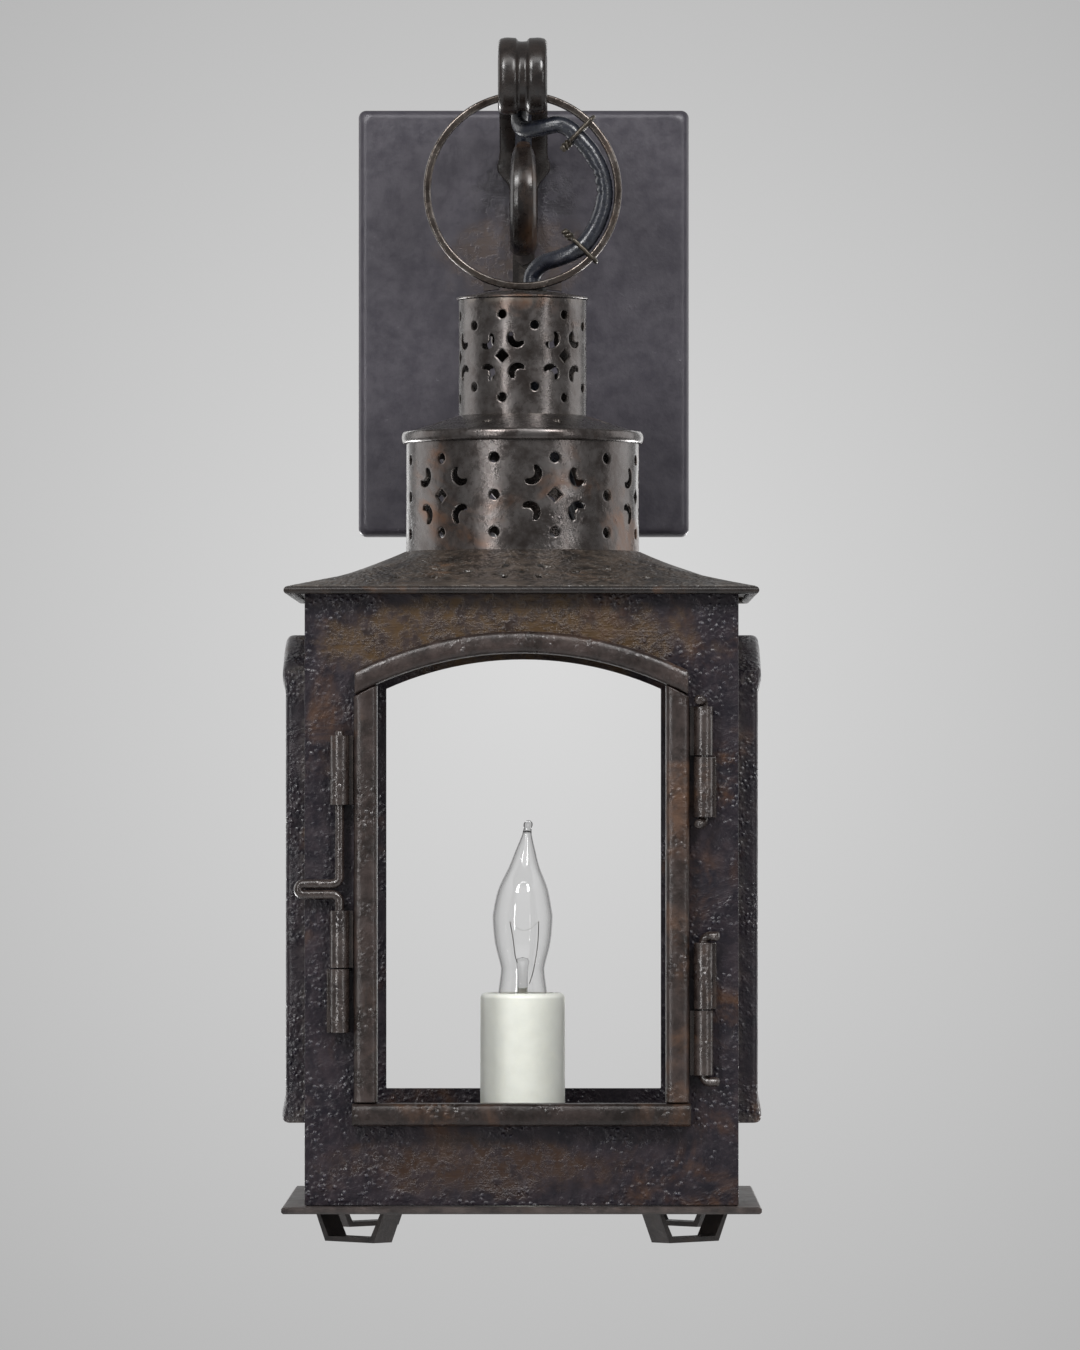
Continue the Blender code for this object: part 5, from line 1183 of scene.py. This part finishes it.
def makeRoof():
    s = roofSet
    bore = stack["drumR"] + gap
    middle = -(s["half"] + bore) / 2
    pattern = motif(0, middle, s)
    for side in (-1, 1):
        for share, level in s["dots"]:
            pattern.append(circle(side * share * s["spread"], middle + level * s["moonAt"][1], s["dot"]))
    holes = [circle(0, 0, bore, stack["drumSides"])]
    for turns in range(4):
        turn = Matrix.Rotation(turns * math.pi / 2, 2)
        holes += [[tuple(turn @ Vector(p)) for p in hole] for hole in pattern]
    edge = s["half"] - s["hem"]

    def place(x, y, depth):
        return (x, axisY + y, roofZ(x, y) - depth)

    def dent(x, y):
        return dented((x, y, 0), *s["dent"])

    outline = [(edge, edge), (-edge, edge), (-edge, -edge), (edge, -edge)]
    sheet = piercedSheet(outline, holes, place, s["sheet"], s["spacing"], dish=stack["dish"], dent=dent)
    addPiece("roofSheet", sheet, "lantern", "roof", ["roof"])


# the roof's edge is rolled into a round hem
def makeHem():
    s = roofSet
    edge = s["half"] - s["hem"]
    low = roofZ(s["half"], 0) - s["hem"]
    rings = []
    for corner in range(4):
        turn = Matrix.Rotation(corner * math.pi / 2, 2)
        for i in range(s["hemSteps"]):
            t = -1 + 2 * i / s["hemSteps"]
            x, y = turn @ Vector((edge, edge * t))
            out = turn @ Vector((1, t if abs(t) == 1 else 0))
            rings.append([(x + r * out.x, axisY + y + r * out.y, low + z)
                          for r, z in circle(0, 0, s["hem"], s["hemSides"])])
    addPiece("roofHem", loft(rings, True), "lantern", "forged", sharp=60, rough=0.0002)


makeTubes()
makeCapAndLid()
makeRim()
makeRoof()
makeHem()
print("chimney, drum and roof pierced")


bodyLow, bodyTop = levels("front_panel")
sillZ = levels("door_sill")[1]
bodySet = dict(width=0.190, sheet=0.0015, frontY=-0.215, spacing=0.004, dent=(0.00022, 55), dentShift=3.7)
windowSet = dict(half=0.063, side=0.1833, rise=0.0135, steps=24)
stripSet = dict(depth=0.0102, stileDepth=0.0088, arch=0.0096, stile=0.0104, sill=0.0101, frameSteps=30,
                doorSteps=60, sillBeyond=0.0007, archShort=0.0005)
stripBack = bodySet["frontY"] - gap
archR = (windowSet["half"] ** 2 + windowSet["rise"] ** 2) / (2 * windowSet["rise"])
archZ = sillZ + windowSet["side"] + windowSet["rise"] - archR


# a window's outline, or a line at some reach around it
def windowLoop(reach):
    s = windowSet
    half, radius = s["half"] + reach, archR + reach
    spread = math.asin(half / radius)
    top = arc(0, archZ, radius, math.pi / 2 - spread, math.pi / 2 + spread, s["steps"])
    return [(-half, sillZ - reach), (half, sillZ - reach), *top]


def quarterTurn(side):
    middle = Matrix.Translation((0, axisY, 0))
    return middle @ Matrix.Rotation(side * math.pi / 2, 4, "Z") @ middle.inverted()


def makePanels():
    s = bodySet
    for side, (name, node) in enumerate((("frontPanel", "front_panel"), ("rightPanel", "right_panel"),
                                         ("rearPanel", "rear_panel"), ("leftPanel", "left_panel"))):
        half = s["width"] / 2 - side % 2 * (s["sheet"] + gap)
        turn = quarterTurn(side)

        def place(x, z, depth):
            return turn @ Vector((x, s["frontY"] + depth, z))

        def dent(x, z):
            return dented((x, z, s["dentShift"] * side), *s["dent"])

        outline = [(-half, bodyLow), (half, bodyLow), (half, bodyTop), (-half, bodyTop)]
        window = densified(windowLoop(0), s["spacing"])
        sheet = piercedSheet(outline, [window], place, s["sheet"], s["spacing"], dent=dent)
        addPiece(name, sheet, "lantern", "panel", [node], soft=0.0004)


# rounded strip section as (share across, share out)
stripSection = [(0, 0), (0, 0.68), (0.02, 0.80), (0.07, 0.90), (0.16, 0.965), (0.32, 0.995), (0.5, 1.0),
                (0.68, 0.995), (0.84, 0.965), (0.93, 0.90), (0.98, 0.80), (1, 0.68), (1, 0)]


# the frames' upright strips are a little thinner than their sills and arches
def makeSideFrames():
    s = stripSet
    for side, name, node in ((1, "rightFrame", "right_frame"), (3, "leftFrame", "left_frame")):
        turn = quarterTurn(side)
        rings = []
        for across, out in stripSection:
            loop = windowLoop(across * s["arch"])
            ring = []
            for i, (a, b) in enumerate(zip(loop, loop[1:] + loop[:1])):
                upright = i in (1, len(loop) - 1)
                pieces = s["frameSteps"] if upright or i == 0 else 1
                for k in range(pieces):
                    x, z = (a[n] + (b[n] - a[n]) * k / pieces for n in (0, 1))
                    depth = s["stileDepth"] if upright and k else s["depth"]
                    ring.append(turn @ Vector((x, stripBack - out * depth, z)))
            rings.append(ring)
        addPiece(name, loft(rings, True), "lantern", "panel", [node], sharp=55, rough=0.00015)


# one strip of the door: spot(share, across) gives x and z at a share of its length
def doorStrip(name, node, finish, depth, soft, spot):
    rings = []
    for i in range(stripSet["doorSteps"] + 1):
        ring = []
        for across, out in stripSection:
            x, z = spot(i / stripSet["doorSteps"], across)
            ring.append((x, stripBack - out * depth, z))
        rings.append(ring)
    addPiece(name, loft(rings), "door", finish, [node], sharp=55, soft=soft, rough=0.00016)


def makeDoor():
    s = stripSet
    inner, outer = windowSet["half"], windowSet["half"] + s["stile"]

    def stile(share, across):
        x = inner + across * s["stile"]
        low, high = sillZ + gap, archZ + math.sqrt(archR**2 - x**2) - gap
        return x, low + (high - low) * share

    def leftStile(share, across):
        x, z = stile(share, across)
        return -x, z

    def sill(share, across):
        return (outer + s["sillBeyond"]) * (2 * share - 1), sillZ - across * s["sill"]

    def arch(share, across):
        radius = archR + across * s["arch"]
        turn = math.asin((outer - s["archShort"]) / radius) * (2 * share - 1)
        return radius * math.sin(turn), archZ + radius * math.cos(turn)

    doorStrip("doorStileLeft", "door_stile_left", "strip", s["stileDepth"], 0.0005, leftStile)
    doorStrip("doorStileRight", "door_stile_right", "strip", s["stileDepth"], 0.0005, stile)
    # the sill takes the darker copy of the strip finish as painted shade
    doorStrip("doorSill", "door_sill", "sill", s["depth"], 0.0006, sill)
    doorStrip("doorArch", "door_arch", "strip", s["depth"], 0.0006, arch)


makePanels()
makeSideFrames()
makeDoor()
print("body and door made")


barrelSet = dict(x=0.0796, y=-0.21955, radius=0.00425, steps=32, boreSides=24, spacing=0.004, leaf=0.0012,
                 offset=0.0062, bodyLeaf=0.0057, doorRear=0.5, pin=0.0021, pinTail=0.0075, pinBend=0.003,
                 pinEnd=0.0008, bolt=0.00205, boltTop=0.0025, boltBend=0.0032, handleRise=0.0320,
                 handlePitch=0.0046, handleReach=0.0180, hairpin=0.49, tipRoom=0.0004)


# a leaf rolled round a bore: the door's leaves lie nearer the front than the body's
def barrel(side, onDoor, bore, low, high):
    s = barrelSet
    radius = s["radius"]
    rear = s["doorRear"] * radius if onDoor else radius
    reach = s["offset"] - gap if onDoor else s["bodyLeaf"]
    facing = -side if onDoor else side
    top = math.asin((rear - s["leaf"]) / radius)
    start = math.asin(min(1, rear / radius))
    outline = arc(0, 0, radius, math.pi - start, 2 * math.pi + top, s["steps"])
    outline = [(facing * u, v) for u, v in [*outline, (reach, rear - s["leaf"]), (reach, rear)]]

    def place(u, v, depth):
        return (side * s["x"] + u, s["y"] + v, high - depth)

    hole = circle(0, 0, bore + gap, s["boreSides"])
    return piercedSheet(outline, [hole], place, high - low, s["spacing"])


def makeFittings():
    s = barrelSet
    knuckles = (
        ("upperDoorKnuckle", "upper_door_knuckle", 1, True),
        ("upperBodyKnuckle", "upper_body_knuckle", 1, False),
        ("lowerBodyKnuckle", "lower_body_knuckle", 1, False),
        ("lowerDoorKnuckle", "lower_door_knuckle", 1, True),
        ("upperBoltGuide", "upper_bolt_guide", -1, True),
        ("lowerBoltGuide", "lower_bolt_guide", -1, True),
        ("boltKeeper", "bolt_keeper", -1, False),
    )
    for name, node, side, onDoor in knuckles:
        mesh = barrel(side, onDoor, s["pin"], *levels(node))
        addPiece(name, mesh, "door" if onDoor else "lantern", "fittings", [node], soft=0.00035)
    pins = (
        ("upper", "door", "upper_body_knuckle", "upper_door_knuckle", (-0.35, -0.94, 0)),
        ("lower", "lantern", "lower_door_knuckle", "lower_body_knuckle", (0.94, -0.35, 0)),
    )
    for end, body, lower, upper, tail in pins:
        beyond = s["pinEnd"] + s["pin"]
        top = Vector((s["x"], s["y"], levels(upper)[1] + beyond))
        foot = Vector((s["x"], s["y"], levels(lower)[0] - beyond))
        way = Vector(tail) * s["pinTail"]
        line = bentRod([top + way, top, foot, foot + way], [s["pinBend"], s["pinBend"]])
        addPiece(end + "HingePin", rod(line, s["pin"]), body, "fittings", [end + "_hinge_pin"])
    seam = levels("lower_bolt_guide")[0]
    handle = seam + s["handleRise"]
    far = -s["x"] - s["handleReach"]
    high = handle + s["handlePitch"]
    corners = [(-s["x"], levels("upper_bolt_guide")[1] + s["boltTop"]), (-s["x"], high), (far, high),
               (far, handle), (-s["x"], handle), (-s["x"], seam - 2 * gap + s["tipRoom"])]
    hairpin = s["hairpin"] * s["handlePitch"]
    line = bentRod([(x, s["y"], z) for x, z in corners], [s["boltBend"], hairpin, hairpin, s["boltBend"]])
    addPiece("boltRod", rod(line, s["bolt"]), "bolt", "fittings", ["bolt_rod"])


makeFittings()
print("hinges and bolt made")


sleeveLow, sleeveTop = levels("candle_sleeve")
candleSet = dict(radius=0.019, wall=0.003, edge=0.0024, edgeSteps=10, lip=0.0006, lipShare=0.3,
                 rings=(0.02, 0.05), sides=72)


# a cast sleeve with a well rounded top edge
def makeCandle():
    s = candleSet
    bore, lift = s["radius"] - s["wall"], s["lipShare"] * s["lip"]
    outline = [(bore, sleeveLow), (bore, sleeveTop - s["lip"])]
    outline += [(bore + lift, sleeveTop - lift), (bore + s["lip"], sleeveTop)]
    edge = s["edge"]
    outline += arc(s["radius"] - edge, sleeveTop - edge, edge, math.pi / 2, 0, s["edgeSteps"])
    outline += [(s["radius"], sleeveTop - drop) for drop in s["rings"]] + [(s["radius"], sleeveLow)]
    addPiece("candleSleeve", turned(outline, s["sides"]), "lantern", "wax", ["candle_sleeve"])


# the lines have radii, or shares of the belly's and the tip's, and shares of the length
bulbSet = dict(length=0.0774, glass=0.0005, neck=0.0110, belly=0.0134, tip=0.0021, tipSteps=8,
               tipFrom=math.radians(-35), hollowLeast=2.2, lean=0.0027, leanFrom=0.45, step=0.0012,
               sides=72,
               neckLine=((0.0110, 0.0), (0.0098, 0.12), (0.0101, 0.165)),
               bellyLine=((0.93, 0.29), (1, 0.42), (0.975, 0.48), (0.82, 0.605), (0.51, 0.73), (0.34, 0.82),
                          (0.19, 0.90)),
               tipLine=((0.92, 0.935),))


# from the neck up: the bulb's outer line and its sealed tip, or the line of the hollow inside
def bulbProfile(inset=0.0):
    s = bulbSet
    top = sleeveTop + s["length"]
    knots = [(size * r, 0, sleeveTop + share * s["length"])
             for size, line in ((1, "neckLine"), (s["belly"], "bellyLine"), (s["tip"], "tipLine"))
             for r, share in s[line]]
    line = smoothRoute(knots, s["step"])
    profile = [(s["neck"] - inset, levels("bulb_glass")[0])]
    if inset:
        hollow = [(p.x - inset, p.z) for p in line if p.x > s["hollowLeast"] * inset]
        return profile + hollow + [(0, hollow[-1][1] + inset)]
    profile += [(p.x, p.z) for p in line]
    tip = arc(0, top - s["tip"], s["tip"], s["tipFrom"], math.pi / 2, s["tipSteps"])
    return profile + tip[:-1] + [(0, top)]


# the upper part of the bulb leans to one side
def leaned(point):
    s = bulbSet
    share = max(0.0, (point.z - sleeveTop) / s["length"] - s["leanFrom"]) / (1 - s["leanFrom"])
    return point + Vector((s["lean"] * share * share, 0, 0))


# pieces of one mesh, kept apart
def gathered(*meshes):
    points, faces = [], []
    for morePoints, moreFaces in meshes:
        faces += [tuple(i + len(points) for i in face) for face in moreFaces]
        points += morePoints
    return points, faces


# flareLine has shares of the flare and heights in stem radii, pressLine shares of the stem and heights
stemSet = dict(radius=0.0022, press=0.0150, sides=32, neck=3, pinchFrom=-0.009, pinchRun=0.006,
               pinchWide=0.35, pinchThin=0.55,
               flareLine=((0, 0), (1, 0), (0.97, 0.5), (0.78, 1.3), (0.42, 2)),
               pressLine=((0.9, -0.007), (0.85, -0.003), (1, -0.001), (0.8, 0.0004), (0, 0.001)))


# the stem is pinched flat at the press, across the wires
def pinched(point):
    s = stemSet
    flat = min(1.0, max(0.0, (point.z - sleeveTop - s["press"] - s["pinchFrom"]) / s["pinchRun"]))
    thin = (point.y - axisY) * (1 - s["pinchThin"] * flat)
    return (point.x * (1 + s["pinchWide"] * flat), axisY + thin, point.z)


# a glass stem that flares at its foot
def bulbStem():
    s = stemSet
    foot, press, radius = levels("bulb_stem")[0], sleeveTop + s["press"], s["radius"]
    flare = bulbSet["neck"] - bulbSet["glass"] - gap
    outline = [(share * flare, foot + rise * radius) for share, rise in s["flareLine"]]
    outline.append((radius, foot + s["neck"] * radius))
    outline += [(share * radius, press + over) for share, over in s["pressLine"]]
    return reshaped(turned(outline, s["sides"]), pinched)


wireSet = dict(lead=0.00020, leadSides=8, step=0.001, coil=0.00004, coilSides=5, coilR=0.00011,
               coilTurns=40, turnSteps=8, sag=0.0040,
               left=[(-0.0022, 0.0135), (-0.0033, 0.0165), (-0.0044, 0.0250), (-0.0057, 0.0320)],
               right=[(0.0030, 0.0040), (0.0046, 0.0090), (0.0063, 0.0180), (0.0070, 0.0250),
                      (0.0072, 0.0320)])


# two lead wires and a fine coil between their ends
def bulbWires():
    s = wireSet
    leads, ends = [], []
    for side in ("left", "right"):
        route = [Vector((x, axisY, sleeveTop + z)) for x, z in s[side]]
        leads.append(rod(smoothRoute(route, s["step"]), s["lead"], s["leadSides"]))
        ends.append(route[-1])
    steps = s["turnSteps"] * s["coilTurns"]
    coil = []
    for i in range(steps + 1):
        turn = 2 * math.pi * i / s["turnSteps"]
        sag = s["sag"] * math.sin(math.pi * i / steps)
        spin = Vector((0, math.cos(turn), math.sin(turn)))
        coil.append(ends[0].lerp(ends[1], i / steps) + s["coilR"] * spin - Vector((0, 0, sag)))
    return gathered(*leads, rod(coil, s["coil"], s["coilSides"], 0))


def makeBulb():
    s = bulbSet
    glass = turned(bulbProfile() + bulbProfile(s["glass"])[::-1], s["sides"])
    addPiece("bulbGlass", reshaped(glass, leaned), "bulb", "glass", ["bulb_glass"], sharp=80)
    addPiece("bulbStem", bulbStem(), "bulb", "stemGlass", ["bulb_stem"], sharp=80)
    addPiece("bulbWires", bulbWires(), "bulb", "tungsten", ["filament"])


# the boxes at the sides, behind and below would draw white rims on the clear glass
def spareBulb():
    spared = bpy.data.collections.new("clearGlass")
    spared.objects.link(bpy.data.objects["bulbGlass"])
    spared.collection_objects[0].light_linking.link_state = "EXCLUDE"
    for side in ("left", "right"):
        for box in ("Side", "Rear", "Under"):
            bpy.data.objects[side + box + "Softbox"].light_linking.receiver_collection = spared


makeCandle()
makeBulb()
spareBulb()
print("candle and bulb made")


# the solids that are kept, under their finishes
keptFinish = dict(
    base=["base_plate"],
    feet=["foot_front_left", "foot_front_right", "foot_rear_left", "foot_rear_right", "ring_lug_left",
          "ring_lug_right", "arm_rivet", "strap_rivet_upper", "strap_rivet_lower"],
    forged=["back_strap"],
    steel=["mounting_bar", "plate_screw_left", "plate_screw_right", "cord_clip_upper", "cord_clip_lower",
           "holder_stem"],
    rubber=["plate_bushing", "cap_bushing"],
    porcelain=["lamp_holder"],
    brass=["bulb_base"],
)
keptSoft = 0.0005  # rounding of the iron ones


def finishSolids():
    for finish, names in keptFinish.items():
        for name in names:
            solid = nodes[name]
            solid.data.materials.clear()
            solid.data.materials.append(finishes[finish])
            if finish in ironFinishes:
                soften(solid, keptSoft)


finishSolids()
print("solids finished")
